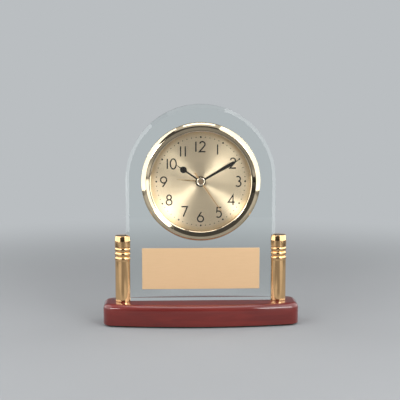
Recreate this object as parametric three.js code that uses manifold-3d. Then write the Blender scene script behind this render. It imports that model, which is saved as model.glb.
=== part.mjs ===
// Glass arch desk clock: a lacquered rosewood plinth, two slotted brass columns that hold a clear glass plate
// with a round top, and a brass alarm clock insert in a hole of the glass. Millimetres, +Z up, front to -Y,
// origin on the table under the middle of the plinth.
import * as THREE from 'three';
import { mergeVertices } from 'three/addons/utils/BufferGeometryUtils.js';
import Module from 'manifold-3d';

const wasm = await Module();
wasm.setup();

// Clearances
const SEAT = 0.1; // between parts that rest on each other
const FIT = 0.3; // round a part that goes into another
const RUN = 0.3; // between a turning part and what carries it
const ROOT = 0.5; // how far a post starts inside the plate it stands on

// Plinth
const BASE_END = 16.8; // from a column's axis to the end of the plinth
const BASE_DEPTH = 47;
const BASE_TOP = 19.3;
const BASE_BOW = 8.6; // how far the front and back arcs stand out at the middle
const BASE_CORNER_R = 9;
const BASE_TOP_R = 3.5;
const BASE_BOTTOM_R = 0.8;
const PAD_THICK = 1.2;
const PAD_INSET = 3;

// Columns
const COLUMN_R = 7;
const COLUMN_HEIGHT = 56.8;
const SLOT_ENTRY = 4.3; // how far the glass edge goes into a column
const CAP_TAPER = 0.45;
const CAP_TAPER_HEIGHT = 4.4;
const CAP_HEIGHT = 10;
const CAP_EDGE_R = 0.5;
const BEAD_COUNT = 3;
const BEAD_PITCH = 4;
const BEAD_GROOVE = 0.75;
const SCREW_R = 1.8;
const SCREW_HEAD_R = 3.6;
const SCREW_HEAD_H = 2.4;
const SCREW_IN_COLUMN = 11;

// Glass plate
const GLASS_WIDTH = 127;
const GLASS_HEIGHT = 168;
const GLASS_THICK = 6;
const GLASS_BEVEL_WIDTH = 3;
const GLASS_BEVEL_DEPTH = 1.5;
const GLASS_ARRIS = 0.3;
const CLOCK_DROP = 1.8; // clock centre below the centre of the round top

// Engraving plate
const PLATE_WIDTH = 100;
const PLATE_ABOVE_BASE = 10.6;
const PLATE_BELOW_BEZEL = 6.4;
const PLATE_THICK = 0.8;
const PLATE_EDGE = 0.25;

// Clock insert, radii about the clock axis
const BEZEL_R = 50.3;
const BEZEL_CREST_R = 45.6;
const BEZEL_INNER_R = 42.3;
const BEZEL_RIM = 1.0; // straight outer edge
const BEZEL_PROUD = 4.3; // crest in front of the glass
const BEZEL_LIP_DROP = 1.1; // inner edge behind the crest
const BEZEL_SKIRT = 2; // wall outside the flange of the can
const LENS_LAP = 2.6; // how far the lens goes under the lip
const LENS_THICK = 1.2;
const LIP_THICK = 0.35;
const CUP_R = 44.2;
const CUP_WALL = 0.9;
const DIAL_THICK = 0.5;
const DIAL_BEHIND_LENS = 3.8;
const REFLECTOR_WALL = 0.7;
const GASKET_LENGTH = 5.4;
const GASKET_WALL = 0.8;

// Movement case, measured from the clock axis
const CASE_HALF_WIDTH = 28.2;
const CASE_UP = 27.5;
const CASE_DOWN = 31.9;
const CASE_CORNER_R = 4;
const CASE_WALL = 1.2;
const FRONT_PLATE_THICK = 1.6;
const CASE_DEPTH = 16.2;
const BAY_TOP = -15.9;
const BATTERY_R = 7.25;
const BATTERY_LENGTH = 49.2;
const BATTERY_NIPPLE_R = 2.7;
const BATTERY_NIPPLE_H = 1;
const BATTERY_EDGE = 0.8;
const CONTACT_SIZE = 10; // square sheet with a round dimple
const CONTACT_SHEET = 0.4;
const CONTACT_DIMPLE_R = 1.8;
const COVER_PLUG = 1.8;
const COVER_FLANGE = 1.1;
const DOOR_WIDTH = 55;
const DOOR_HEIGHT = 16.6;
const DOOR_THICK = 1.5;
const DOOR_LEDGE = 1.2;
const DOOR_CORNER_R = 1.2;
const DOOR_GRIPS = 5;
const DOOR_GRIP_PITCH = 2.4;
const DOOR_GRIP_WIDTH = 1;
const DOOR_GRIP_HEIGHT = 6;
const DOOR_GRIP_DEPTH = 0.5;
const SOUND_HOLE_R = 0.9;
const SOUND_HOLE_PITCH = 4;

// Gear train: module of each mesh, level spacing and arbor places
const WHEEL_THICK = 1;
const LEVEL_PITCH = 1.4;
const ARBOR_R = 0.45;
const KNOB_ARBOR_R = 1;
const STUD_R = 0.5;
const PIVOT_DEPTH = 0.7; // of an arbor's end in the front plate
const SECOND_SHAFT_R = 0.6;
const TUBE_WALL = 0.6;
const MODULE_INTERMEDIATE = 0.37;
const MODULE_THIRD = 0.36;
const MODULE_MOTION = 0.375;
const MODULE_ALARM = 0.5;
const PINION_TEETH = 8;
const ROTOR_WHEEL_TEETH = 32;
const SECOND_TEETH = 60;
const THIRD_TEETH = 60;
const CENTRE_TEETH = 64;
const CANNON_TEETH = 12;
const MOTION_TEETH = 36;
const MOTION_PINION_TEETH = 10;
const HOUR_TEETH = 40;
const ALARM_TEETH = 28;
const THIRD_ANGLE = 100; // degrees from +X towards +Z, seen from the front
const INTERMEDIATE_ANGLE = 30;
const ROTOR_ANGLE = 60;
const MOTION_ANGLE = 180;
const ALARM_ANGLE = -25;
const TOOTH_TIP = 0.7; // in modules
const TOOTH_ROOT = 1.4;
const TOOTH_LAND = 0.08; // half width of a tooth tip as a share of the pitch
const MAGNET_R = 3;
const MAGNET_H = 2.4;
const BRIDGE_THICK = 1;
const POST_R = 1.2;
const POST_PIP_R = 0.7;
const POST_ASIDE = 6.1; // from the rotor to the top post
const POST_SPREAD = 7;
const POST_SHIFT = 0.5;
const POST_WALL_GAP = 1.8;
const BRIDGE_RIM = 3.6; // beyond the pivots and posts

// Stator, coil, board, buzzer
const STATOR_THICK = 1;
const STATOR_ARM = 3;
const STATOR_EYE = 4.5; // half height of the wider part round the rotor
const STATOR_EYE_OUT = 1.3;
const CORE_THICK = 1;
const CORE_WIDTH = 2;
const COIL_R = 2.5;
const COIL_FLANGE = 0.8;
const COIL_FLANGE_LIP = 0.3;
const COIL_LENGTH = 20.8;
const COIL_AXIS_X = 23;
const BOARD_WIDTH = 19.5;
const BOARD_HEIGHT = 20;
const BOARD_THICK = 0.8;
const BUZZER_R = 9;
const BUZZER_THICK = 1.8;
const CRYSTAL_R = 1;
const CRYSTAL_LENGTH = 6;

// Hands
const HAND_THICK = 0.25;
const HAND_PITCH = 0.55;
const HAND_STEM = 0.6; // widths of hands are half widths
const HAND_TIP = 0.1;
const HOUR_LENGTH = 25;
const HOUR_HUB_R = 4.3;
const HOUR_BULB_R = 2.5;
const HOUR_POINT = 7.2; // from the middle of the bulb to the tip
const MINUTE_LENGTH = 37.6;
const MINUTE_HUB_R = 3.9;
const MINUTE_WIDEST = 1.18;
const MINUTE_POINT = 6; // from the widest place to the tip
const SECOND_LENGTH = 31;
const SECOND_HUB_R = 2.6;
const SECOND_TAIL = 9;
const SECOND_TAIL_WIDTH = 0.45;
const ALARM_LENGTH = 20.2;
const ALARM_HUB_R = 4.6;
const ALARM_WIDTH = 0.7;
const CAP_RING_R = 3.6;
const CAP_DISC_R = 2.4;
const HANDS_SHOW = { hour: 304.3, minute: 60.2, second: 145.5, alarm: 274.8 }; // degrees clockwise from 12

// Knobs and switch
const SET_KNOB_R = 7;
const ALARM_KNOB_R = 6;
const KNOB_HEIGHT = 2.2;
const KNOB_RIBS = 14;
const KNOB_RIB_DEPTH = 0.45;
const KNOB_DISH = 0.4;
const KNOB_DISH_SHARE = 0.6; // of the knob's radius
const KNOB_BORE = 1.3; // how far an arbor goes into its knob
const SWITCH_TRAVEL = 4;
const SWITCH_TAB = 2.6;
const SWITCH_WIDTH = 8;
const SWITCH_HEIGHT = 5;
const SWITCH_PLATE = 1;
const SWITCH_PROUD = 1.6;

// Sides that a round takes: the large rounds, the bezel, a column, a small round and a hole
const ROUND = 40;
const BEZEL_SIDES = 48;
const COLUMN_SIDES = 24;
const SMALL_ROUND = 16;
const HOLE_SIDES = 10;

// Places worked out from the sizes above
const baseBottom = PAD_THICK;
const columnTop = BASE_TOP + COLUMN_HEIGHT;
const glassBottom = BASE_TOP + SEAT;
const glassTop = BASE_TOP + GLASS_HEIGHT;
const archR = GLASS_WIDTH / 2;
const columnX = archR + COLUMN_R - SLOT_ENTRY;
const halfBase = columnX + BASE_END;
const clockZ = glassTop - archR - CLOCK_DROP;
const plateLow = BASE_TOP + PLATE_ABOVE_BASE;
const plateHigh = clockZ - BEZEL_R - PLATE_BELOW_BEZEL;
const glassFront = -GLASS_THICK / 2;
const glassBack = GLASS_THICK / 2;
const bezelBack = glassFront - SEAT;
const crestY = glassFront - BEZEL_PROUD;
const lipFront = crestY + BEZEL_LIP_DROP;
const lensFront = lipFront + LIP_THICK + SEAT;
const lensBack = lensFront + LENS_THICK;
const dialFront = lensBack + DIAL_BEHIND_LENS;
const dialBack = dialFront + DIAL_THICK;
const cupFront = lensBack + SEAT;
const cupInnerR = CUP_R - CUP_WALL;
const cupFlangeR = BEZEL_R - BEZEL_SKIRT - FIT;
const glassHoleR = CUP_R + GASKET_WALL + 2 * SEAT;
const lensR = BEZEL_INNER_R + LENS_LAP;
const dialR = cupInnerR - FIT;
const plateFront = dialBack + SEAT;
const plateBack = plateFront + FRONT_PLATE_THICK;
const caseFront = plateBack + SEAT;
const caseBack = caseFront + CASE_DEPTH;
const chamberBack = caseBack - CASE_WALL;
const coverFront = caseBack + FIT;
const plugBack = coverFront + COVER_PLUG;
const coverBack = plugBack + COVER_FLANGE;
const levelY = (n) => plateBack + RUN + (n - 1) * LEVEL_PITCH; // front face of the nth level of wheels
const levelBack = (n) => levelY(n) + WHEEL_THICK;
const magnetFront = levelY(8);
const bridgeBack = chamberBack - WHEEL_THICK;
const bridgeFront = bridgeBack - BRIDGE_THICK;
const pivotBack = bridgeBack - SEAT;
const pivotFront = plateBack - PIVOT_DEPTH;
const degrees = THREE.MathUtils.degToRad;
const MODULE_CENTRE = (MODULE_THIRD * (PINION_TEETH + THIRD_TEETH)) / (PINION_TEETH + CENTRE_TEETH);
const MODULE_HOUR = (MODULE_MOTION * (CANNON_TEETH + MOTION_TEETH)) / (MOTION_PINION_TEETH + HOUR_TEETH);
const meshDistance = (module, a, b) => (module * (a + b)) / 2;
const polar = (from, distance, angle) => ({
  x: from.x + distance * Math.cos(degrees(angle)),
  z: from.z + distance * Math.sin(degrees(angle)),
});
const centreAt = { x: 0, z: 0 };
const thirdAt = polar(centreAt, meshDistance(MODULE_THIRD, PINION_TEETH, THIRD_TEETH), THIRD_ANGLE);
const intermediateAt = polar(
  centreAt, meshDistance(MODULE_INTERMEDIATE, PINION_TEETH, SECOND_TEETH), INTERMEDIATE_ANGLE);
const rotorAt = polar(
  intermediateAt, meshDistance(MODULE_INTERMEDIATE, PINION_TEETH, ROTOR_WHEEL_TEETH), ROTOR_ANGLE);
const motionAt = polar(centreAt, meshDistance(MODULE_MOTION, CANNON_TEETH, MOTION_TEETH), MOTION_ANGLE);
const setAt = polar(motionAt, meshDistance(MODULE_MOTION, CANNON_TEETH, MOTION_TEETH), MOTION_ANGLE);
const alarmAt = polar(centreAt, meshDistance(MODULE_ALARM, ALARM_TEETH, ALARM_TEETH), ALARM_ANGLE);
const minuteTubeInner = SECOND_SHAFT_R + RUN;
const minuteTubeOuter = minuteTubeInner + TUBE_WALL;
const hourTubeInner = minuteTubeOuter + RUN;
const hourTubeOuter = hourTubeInner + TUBE_WALL;
const alarmTubeInner = hourTubeOuter + RUN;
const alarmTubeOuter = alarmTubeInner + TUBE_WALL;
const centreHoleR = alarmTubeOuter + RUN;
const handBack = (n) => dialFront - RUN - (n - 1) * HAND_PITCH; // back face of the nth hand from the dial
const handFront = (n) => handBack(n) - HAND_THICK;
const batteryZ = -CASE_DOWN + CASE_WALL + FIT + BATTERY_R;
const batteryY = caseBack - FIT - BATTERY_R;
const chamberTop = CASE_UP - CASE_WALL;
const chamberLow = BAY_TOP + CASE_WALL;
const topPost = { x: rotorAt.x - POST_ASIDE, z: chamberTop - POST_R - POST_WALL_GAP };
const rightPost = { x: POST_SPREAD / 2 + POST_SHIFT, z: chamberLow + POST_R + POST_WALL_GAP / 3 };
const leftPost = { x: rightPost.x - POST_SPREAD, z: rightPost.z };
const postPlaces = [topPost, rightPost, leftPost];
const buzzerAt = { x: -CASE_HALF_WIDTH + CASE_WALL + BUZZER_R + 2, z: chamberTop - BUZZER_R - 3.1 };
const switchAt = { x: 2, z: 19 };

// Finishes
const finish = (color, roughness, metalness) => ({ color, roughness, metalness });
const BRASS = finish(0xcbab7d, 0.12, 1);
const SATIN_BRASS = finish(0xdebb92, 0.4, 1);
const DIAL_GOLD = finish(0xc7ae8b, 0.35, 1);
const ROSEWOOD = finish(0x6f3835, 0.12, 0);
const CLEAR_GLASS = finish(0xd5e2e0, 0.03, 0);
const HAND_BLACK = finish(0x14100e, 0.35, 0.2);
const BLACK_PLASTIC = finish(0x1c1c1e, 0.5, 0);
const WHITE_PLASTIC = finish(0xe4e2dc, 0.5, 0);
const GREY_RUBBER = finish(0x2b2b2c, 0.85, 0);
const FELT = finish(0x1d3a2c, 0.98, 0);
const STEEL = finish(0xaeb2b5, 0.3, 1);
const COPPER = finish(0xb4683a, 0.35, 1);
const MAGNET = finish(0x4a4b4e, 0.5, 0.6);
const BOARD = finish(0x2d6a45, 0.6, 0);

// Geometry helpers
function weld(geometry) {
  geometry.deleteAttribute('normal');
  geometry.deleteAttribute('uv');
  const merged = mergeVertices(geometry, 1e-3);
  const index = merged.getIndex().array;
  const kept = [];
  for (let i = 0; i < index.length; i += 3) {
    const [a, b, c] = [index[i], index[i + 1], index[i + 2]];
    if (a !== b && b !== c && a !== c) kept.push(a, b, c);
  }
  const p = merged.getAttribute('position');
  const [u, v, w] = [new THREE.Vector3(), new THREE.Vector3(), new THREE.Vector3()];
  let volume = 0;
  for (let i = 0; i < kept.length; i += 3) {
    u.fromBufferAttribute(p, kept[i]);
    v.fromBufferAttribute(p, kept[i + 1]);
    w.fromBufferAttribute(p, kept[i + 2]);
    volume += u.dot(v.cross(w));
  }
  merged.setIndex(volume < 0 ? kept.reverse() : kept);
  return merged;
}

function solidOf(geometry) {
  const welded = weld(geometry);
  return new wasm.Manifold(new wasm.Mesh({
    numProp: 3,
    vertProperties: new Float32Array(welded.getAttribute('position').array),
    triVerts: new Uint32Array(welded.getIndex().array),
  }));
}

function geometryOf(solid) {
  const mesh = solid.getMesh();
  const geometry = new THREE.BufferGeometry();
  geometry.setAttribute('position', new THREE.BufferAttribute(new Float32Array(mesh.vertProperties), 3));
  geometry.setIndex(Array.from(mesh.triVerts));
  return geometry;
}

function shaped(body, added = [], removed = []) {
  let solid = solidOf(body);
  for (const piece of added) solid = solid.add(solidOf(piece));
  for (const piece of removed) solid = solid.subtract(solidOf(piece));
  return geometryOf(solid);
}

// Profile points are [radius, y]; the axis is Y, as the clock's own axis is
function revolve(profile, segments = ROUND) {
  return new THREE.LatheGeometry(profile.map(([r, y]) => new THREE.Vector2(r, y)), segments);
}

function ring(inner, outer, y0, y1, segments = ROUND) {
  return revolve([[inner, y0], [outer, y0], [outer, y1], [inner, y1], [inner, y0]], segments);
}

function disc(radius, y0, y1, segments = ROUND) {
  return revolve([[0, y0], [radius, y0], [radius, y1], [0, y1]], segments);
}

function boxBetween(x0, x1, y0, y1, z0, z1) {
  return new THREE.BoxGeometry(x1 - x0, y1 - y0, z1 - z0)
    .translate((x0 + x1) / 2, (y0 + y1) / 2, (z0 + z1) / 2);
}

// A flat piece facing the front: the shape's x and y become x and z
function slab(shape, y0, y1, curveSegments = 8) {
  return new THREE.ExtrudeGeometry(shape, { depth: y1 - y0, bevelEnabled: false, curveSegments })
    .rotateX(Math.PI / 2).translate(0, y1, 0);
}

function polygonShape(points) {
  return new THREE.Shape(points.map(([x, y]) => new THREE.Vector2(x, y)));
}

function roundedRect(x0, x1, z0, z1, r) {
  const shape = new THREE.Shape();
  shape.moveTo(x0 + r, z0).lineTo(x1 - r, z0);
  shape.absarc(x1 - r, z0 + r, r, -Math.PI / 2, 0);
  shape.lineTo(x1, z1 - r).absarc(x1 - r, z1 - r, r, 0, Math.PI / 2);
  shape.lineTo(x0 + r, z1).absarc(x0 + r, z1 - r, r, Math.PI / 2, Math.PI);
  shape.lineTo(x0, z0 + r).absarc(x0 + r, z0 + r, r, Math.PI, Math.PI * 1.5);
  return shape;
}

// A solid through rings of equal point counts, closed by a fan at each end
function loft(rings) {
  const count = rings[0].length;
  const points = rings.flat();
  const middle = (r) => r.reduce((sum, p) => sum.add(p), new THREE.Vector3()).divideScalar(count);
  const first = points.push(middle(rings[0])) - 1;
  const last = points.push(middle(rings[rings.length - 1])) - 1;
  const index = [];
  for (let i = 0; i < count; i++) {
    const j = (i + 1) % count;
    for (let k = 0; k + 1 < rings.length; k++) {
      const a = k * count;
      const b = a + count;
      index.push(a + i, a + j, b + j, a + i, b + j, b + i);
    }
    const top = (rings.length - 1) * count;
    index.push(first, j, i, last, top + i, top + j);
  }
  const geometry = new THREE.BufferGeometry().setFromPoints(points);
  geometry.setIndex(index);
  return geometry;
}

function mesh(name, geometry, look, at = { x: 0, z: 0 }) {
  const made = new THREE.Mesh(weld(geometry), new THREE.MeshStandardMaterial(look));
  made.name = name;
  made.position.set(at.x, 0, at.z);
  return made;
}

// Plinth outline: arcs at the front and back, straight ends and round corners, drawn in by an inset
function plinthOutline(inset) {
  const halfDepth = BASE_DEPTH / 2;
  const arcR = (halfBase ** 2 + BASE_BOW ** 2) / (2 * BASE_BOW);
  const arcY = arcR - halfDepth;
  const cornerX = halfBase - BASE_CORNER_R;
  const cornerY = arcY - Math.sqrt((arcR - BASE_CORNER_R) ** 2 - cornerX ** 2);
  const sweep = Math.atan2(cornerX, arcY - cornerY);
  const quarter = [];
  const steps = 7;
  for (let i = 0; i <= steps; i++) {
    const a = (sweep * i) / steps;
    quarter.push([(arcR - inset) * Math.sin(a), arcY - (arcR - inset) * Math.cos(a)]);
  }
  const turns = 5;
  for (let i = 1; i <= turns; i++) {
    const a = sweep + ((Math.PI / 2 - sweep) * i) / turns;
    const r = BASE_CORNER_R - inset;
    quarter.push([cornerX + r * Math.sin(a), cornerY - r * Math.cos(a)]);
  }
  const right = [...quarter, ...quarter.map(([x, y]) => [x, -y]).reverse()];
  const left = right.slice(1, -1).map(([x, y]) => [-x, y]).reverse();
  return [...right, ...left];
}

function plinthRing(inset, z) {
  return plinthOutline(inset).map(([x, y]) => new THREE.Vector3(x, y, z));
}

function plinth() {
  const rings = [plinthRing(BASE_BOTTOM_R, baseBottom), plinthRing(0, baseBottom + BASE_BOTTOM_R)];
  const steps = 4;
  for (let i = 0; i <= steps; i++) {
    const a = (Math.PI / 2) * (i / steps);
    rings.push(plinthRing(BASE_TOP_R * (1 - Math.cos(a)), BASE_TOP - BASE_TOP_R * (1 - Math.sin(a))));
  }
  const holes = [];
  for (const side of [-1, 1]) {
    const counterbore = disc(SCREW_HEAD_R + FIT, -1, baseBottom + SCREW_HEAD_H + FIT, SMALL_ROUND);
    const hole = disc(SCREW_R + FIT, 0, BASE_TOP + 1, SMALL_ROUND);
    for (const cutter of [counterbore, hole]) {
      holes.push(cutter.rotateX(Math.PI / 2).translate(side * columnX, 0, 0));
    }
  }
  return shaped(loft(rings), [], holes);
}

function feltPad() {
  return loft([plinthRing(PAD_INSET, 0), plinthRing(PAD_INSET, PAD_THICK - SEAT)]);
}

// Column turned about Z, slotted on its inner side and tapped from below; side is -1 for the left one
function column(side) {
  const beadTop = COLUMN_HEIGHT - CAP_HEIGHT;
  const beadSteps = 4;
  const shaftTop = beadTop - BEAD_COUNT * BEAD_PITCH - BEAD_GROOVE / 2;
  const profile = [[0, SEAT], [COLUMN_R, SEAT], [COLUMN_R, shaftTop]];
  for (let bead = BEAD_COUNT; bead > 0; bead--) {
    for (let i = 0; i < beadSteps; i++) {
      const share = i / beadSteps;
      const dip = BEAD_GROOVE * (1 - Math.sin(Math.PI * share)) ** 2;
      profile.push([COLUMN_R - dip, beadTop - (bead - share) * BEAD_PITCH]);
    }
  }
  profile.push([COLUMN_R - BEAD_GROOVE, beadTop], [COLUMN_R, beadTop + BEAD_GROOVE / 2]);
  profile.push([COLUMN_R, COLUMN_HEIGHT - CAP_TAPER_HEIGHT]);
  profile.push([COLUMN_R - CAP_TAPER, COLUMN_HEIGHT - CAP_EDGE_R]);
  profile.push([COLUMN_R - CAP_TAPER - CAP_EDGE_R, COLUMN_HEIGHT], [0, COLUMN_HEIGHT]);
  const slotBottom = -side * (columnX - archR - FIT);
  const slotMouth = -side * (COLUMN_R + 1);
  const half = GLASS_THICK / 2 + FIT;
  const slot = boxBetween(
    Math.min(slotBottom, slotMouth), Math.max(slotBottom, slotMouth), -half, half, 0, COLUMN_HEIGHT + 1);
  const tapped = disc(SCREW_R, -1, SCREW_IN_COLUMN + 1, SMALL_ROUND).rotateX(Math.PI / 2);
  const turned = revolve(profile, COLUMN_SIDES).rotateX(Math.PI / 2);
  return shaped(turned, [], [slot, tapped]).translate(side * columnX, 0, BASE_TOP);
}

function columnScrew(side) {
  const shankR = SCREW_R - FIT / 2;
  const headTop = baseBottom + SCREW_HEAD_H;
  const tip = BASE_TOP + SCREW_IN_COLUMN;
  const profile = [
    [0, baseBottom], [SCREW_HEAD_R, baseBottom], [SCREW_HEAD_R, headTop], [shankR, headTop],
    [shankR, tip - shankR], [0, tip],
  ];
  const slot = boxBetween(-SCREW_HEAD_R - 1, SCREW_HEAD_R + 1, -0.5, 0.5, baseBottom - 1, baseBottom + 1);
  const body = revolve(profile, SMALL_ROUND).rotateX(Math.PI / 2);
  return shaped(body, [], [slot]).translate(side * columnX, 0, 0);
}

// Outline of the glass plate in x and z, drawn in by an inset
function archOutline(inset) {
  const r = archR - inset;
  const centre = glassTop - archR;
  const points = [[-r, glassBottom + inset], [r, glassBottom + inset]];
  const steps = 36;
  for (let i = 0; i <= steps; i++) {
    const a = (Math.PI * i) / steps;
    points.push([r * Math.cos(a), centre + r * Math.sin(a)]);
  }
  return points;
}

function glassPlate() {
  const at = (inset, y) => archOutline(inset).map(([x, z]) => new THREE.Vector3(x, y, z));
  const rings = [
    at(GLASS_BEVEL_WIDTH, glassFront), at(0, glassFront + GLASS_BEVEL_DEPTH),
    at(0, glassBack - GLASS_ARRIS), at(GLASS_ARRIS, glassBack),
  ];
  const hole = disc(glassHoleR, glassFront - 1, glassBack + 1, BEZEL_SIDES).translate(0, 0, clockZ);
  return shaped(loft(rings), [], [hole]);
}

function engravingPlate() {
  const back = glassFront - SEAT;
  const front = back - PLATE_THICK;
  const at = (inset, y) => {
    const x = PLATE_WIDTH / 2 - inset;
    const low = plateLow + inset;
    const high = plateHigh - inset;
    return [[-x, low], [x, low], [x, high], [-x, high]].map(([px, pz]) => new THREE.Vector3(px, y, pz));
  };
  return loft([at(PLATE_EDGE, front), at(0, front + PLATE_EDGE), at(0, back)]);
}

// Convex brass ring: it drops from the crest to its outer rim and to the lip over the lens
function bezel() {
  const rimFront = bezelBack - BEZEL_RIM;
  const curve = (r0, y0, r1, y1, steps) => Array.from({ length: steps }, (unused, i) => {
    const a = (Math.PI / 2) * ((i + 1) / steps);
    return [r0 + (r1 - r0) * (1 - Math.cos(a)), y0 + (y1 - y0) * Math.sin(a)];
  });
  const profile = [[BEZEL_R, bezelBack], [BEZEL_R, rimFront]];
  profile.push(...curve(BEZEL_R, rimFront, BEZEL_CREST_R, crestY, 4));
  profile.push(...curve(BEZEL_INNER_R, lipFront, BEZEL_CREST_R, crestY, 3).slice(0, -1).reverse());
  profile.push([BEZEL_INNER_R, lipFront], [BEZEL_INNER_R, lensFront - SEAT], [lensR + FIT, lensFront - SEAT]);
  profile.push([lensR + FIT, cupFront - FIT], [cupFlangeR + FIT, cupFront - FIT]);
  profile.push([cupFlangeR + FIT, bezelBack], [BEZEL_R, bezelBack]);
  return revolve(profile, BEZEL_SIDES);
}

// Thin metal can: its flange lies on the glass under the bezel and its tube goes back through the hole
function caseCup() {
  const flangeBack = glassFront - SEAT;
  const back = plugBack - SEAT;
  return revolve([
    [cupInnerR, cupFront], [cupFlangeR, cupFront], [cupFlangeR, flangeBack], [CUP_R, flangeBack],
    [CUP_R, back], [cupInnerR, back], [cupInnerR, cupFront],
  ]);
}

function gasket() {
  const outer = glassHoleR * Math.cos(Math.PI / BEZEL_SIDES) - SEAT;
  return ring(CUP_R + SEAT, outer, -GASKET_LENGTH / 2, GASKET_LENGTH / 2, BEZEL_SIDES);
}

function reflectorRing() {
  const front = cupFront + SEAT;
  const back = dialFront - SEAT;
  const outer = cupInnerR - FIT;
  const inner = outer - REFLECTOR_WALL;
  return revolve([
    [inner + FIT / 2, front], [outer, front], [outer, back], [inner, back], [inner + FIT / 2, front],
  ]);
}

// Footprint of the movement case: straight sides and round corners
function caseFootprint(inset) {
  const r = Math.max(CASE_CORNER_R - inset, 0.5);
  const halfWidth = CASE_HALF_WIDTH - inset;
  return roundedRect(-halfWidth, halfWidth, -CASE_DOWN + inset, CASE_UP - inset, r);
}

const pivotHole = (at, y0, y1, radius) => disc(radius, y0, y1, HOLE_SIDES).translate(at.x, 0, at.z);

// Front plate of the movement with its stud for the motion wheel and the posts that carry the bridge
function frontPlate() {
  const stud = disc(STUD_R, plateBack - ROOT, levelBack(3) + SEAT, HOLE_SIDES);
  const added = [stud.translate(motionAt.x, 0, motionAt.z)];
  for (const at of postPlaces) {
    added.push(disc(POST_R, plateBack - ROOT, bridgeFront - SEAT, HOLE_SIDES).translate(at.x, 0, at.z));
    added.push(disc(POST_PIP_R, bridgeFront - 1, bridgeBack - SEAT, HOLE_SIDES).translate(at.x, 0, at.z));
  }
  const removed = [disc(centreHoleR, plateFront - 1, plateBack + 1, SMALL_ROUND)];
  for (const at of [thirdAt, intermediateAt, rotorAt]) {
    removed.push(pivotHole(at, pivotFront - RUN, plateBack + 1, ARBOR_R + RUN));
  }
  for (const at of [setAt, alarmAt]) {
    removed.push(pivotHole(at, pivotFront - RUN, plateBack + 1, KNOB_ARBOR_R + RUN));
  }
  return shaped(slab(caseFootprint(0), plateFront, plateBack, 3), added, removed);
}

function trainBridge() {
  const left = leftPost.x - BRIDGE_RIM;
  const right = rotorAt.x + BRIDGE_RIM;
  const low = leftPost.z - POST_PIP_R - POST_R / 2;
  const high = topPost.z + POST_PIP_R + POST_R;
  const outline = polygonShape([
    [left, low], [alarmAt.x + BRIDGE_RIM, low], [right, alarmAt.z], [right, rotorAt.z + BRIDGE_RIM],
    [topPost.x + BRIDGE_RIM, high], [topPost.x - BRIDGE_RIM, high], [left, thirdAt.z + BRIDGE_RIM],
  ]);
  const removed = [
    pivotHole(alarmAt, bridgeFront - 1, bridgeBack + 1, KNOB_ARBOR_R + RUN),
    pivotHole(centreAt, bridgeFront - 1, bridgeBack + 1, SECOND_SHAFT_R + RUN),
  ];
  for (const at of [thirdAt, intermediateAt, rotorAt]) {
    removed.push(pivotHole(at, bridgeFront - 1, bridgeBack + 1, ARBOR_R + RUN));
  }
  for (const at of postPlaces) removed.push(pivotHole(at, bridgeFront - 1, bridgeBack + 1, POST_PIP_R + RUN));
  return shaped(slab(outline, bridgeFront, bridgeBack), [], removed);
}

// Three holes in a row that let the buzzer be heard
const soundHoles = (y0, y1) => [-1, 0, 1].map((n) => disc(SOUND_HOLE_R, y0, y1, HOLE_SIDES)
  .translate(buzzerAt.x + n * SOUND_HOLE_PITCH, 0, buzzerAt.z));

// Rear shell of the movement: a chamber open to the front and a battery bay open to the back
function movementCase() {
  const inner = CASE_HALF_WIDTH - CASE_WALL;
  const bayFloor = batteryY - BATTERY_R - FIT;
  const removed = [
    boxBetween(-inner, inner, caseFront - 1, chamberBack, chamberLow, chamberTop),
    boxBetween(-inner, inner, bayFloor, caseBack + 1, -CASE_DOWN + CASE_WALL, BAY_TOP),
    pivotHole(setAt, chamberBack - 1, caseBack + 1, KNOB_ARBOR_R + RUN),
    pivotHole(alarmAt, chamberBack - 1, caseBack + 1, KNOB_ARBOR_R + RUN),
  ];
  removed.push(...soundHoles(chamberBack - 1, caseBack + 1));
  return shaped(slab(caseFootprint(0), caseFront, caseBack, 3), [], removed);
}

// Back cover: a plug inside the can, a flange over its end, a recess for the door and a pocket for the switch
function backCover() {
  const knobHole = (at) => pivotHole(at, coverFront - 1, coverBack + 1, KNOB_ARBOR_R + RUN);
  const halfDoor = DOOR_WIDTH / 2 + FIT;
  const doorFront = coverBack - DOOR_THICK - SEAT;
  const low = batteryZ - DOOR_HEIGHT / 2 - FIT;
  const high = batteryZ + DOOR_HEIGHT / 2 + FIT;
  const tab = SWITCH_TAB / 2 + FIT;
  const reach = SWITCH_TRAVEL / 2;
  const halfPocket = SWITCH_TRAVEL / 2 + SWITCH_WIDTH / 2 + FIT;
  const halfPocketHeight = SWITCH_HEIGHT / 2 + FIT;
  const pocketBack = coverFront + RUN + SWITCH_PLATE + RUN;
  const removed = [
    knobHole(setAt), knobHole(alarmAt),
    boxBetween(-halfDoor, halfDoor, doorFront, coverBack + 1, low, high),
    boxBetween(-halfDoor + DOOR_LEDGE, halfDoor - DOOR_LEDGE, coverFront - 1, coverBack, low + DOOR_LEDGE,
      high - DOOR_LEDGE),
    boxBetween(switchAt.x - halfPocket, switchAt.x + halfPocket, coverFront - 1, pocketBack,
      switchAt.z - halfPocketHeight, switchAt.z + halfPocketHeight),
    boxBetween(switchAt.x - reach - tab, switchAt.x + reach + tab, coverFront, coverBack + 1,
      switchAt.z - tab, switchAt.z + tab),
  ];
  removed.push(...soundHoles(coverFront - 1, coverBack + 1));
  const body = revolve([
    [0, coverFront], [cupInnerR - FIT, coverFront], [cupInnerR - FIT, plugBack],
    [CUP_R, plugBack], [CUP_R, coverBack], [0, coverBack],
  ]);
  return shaped(body, [], removed);
}

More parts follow.
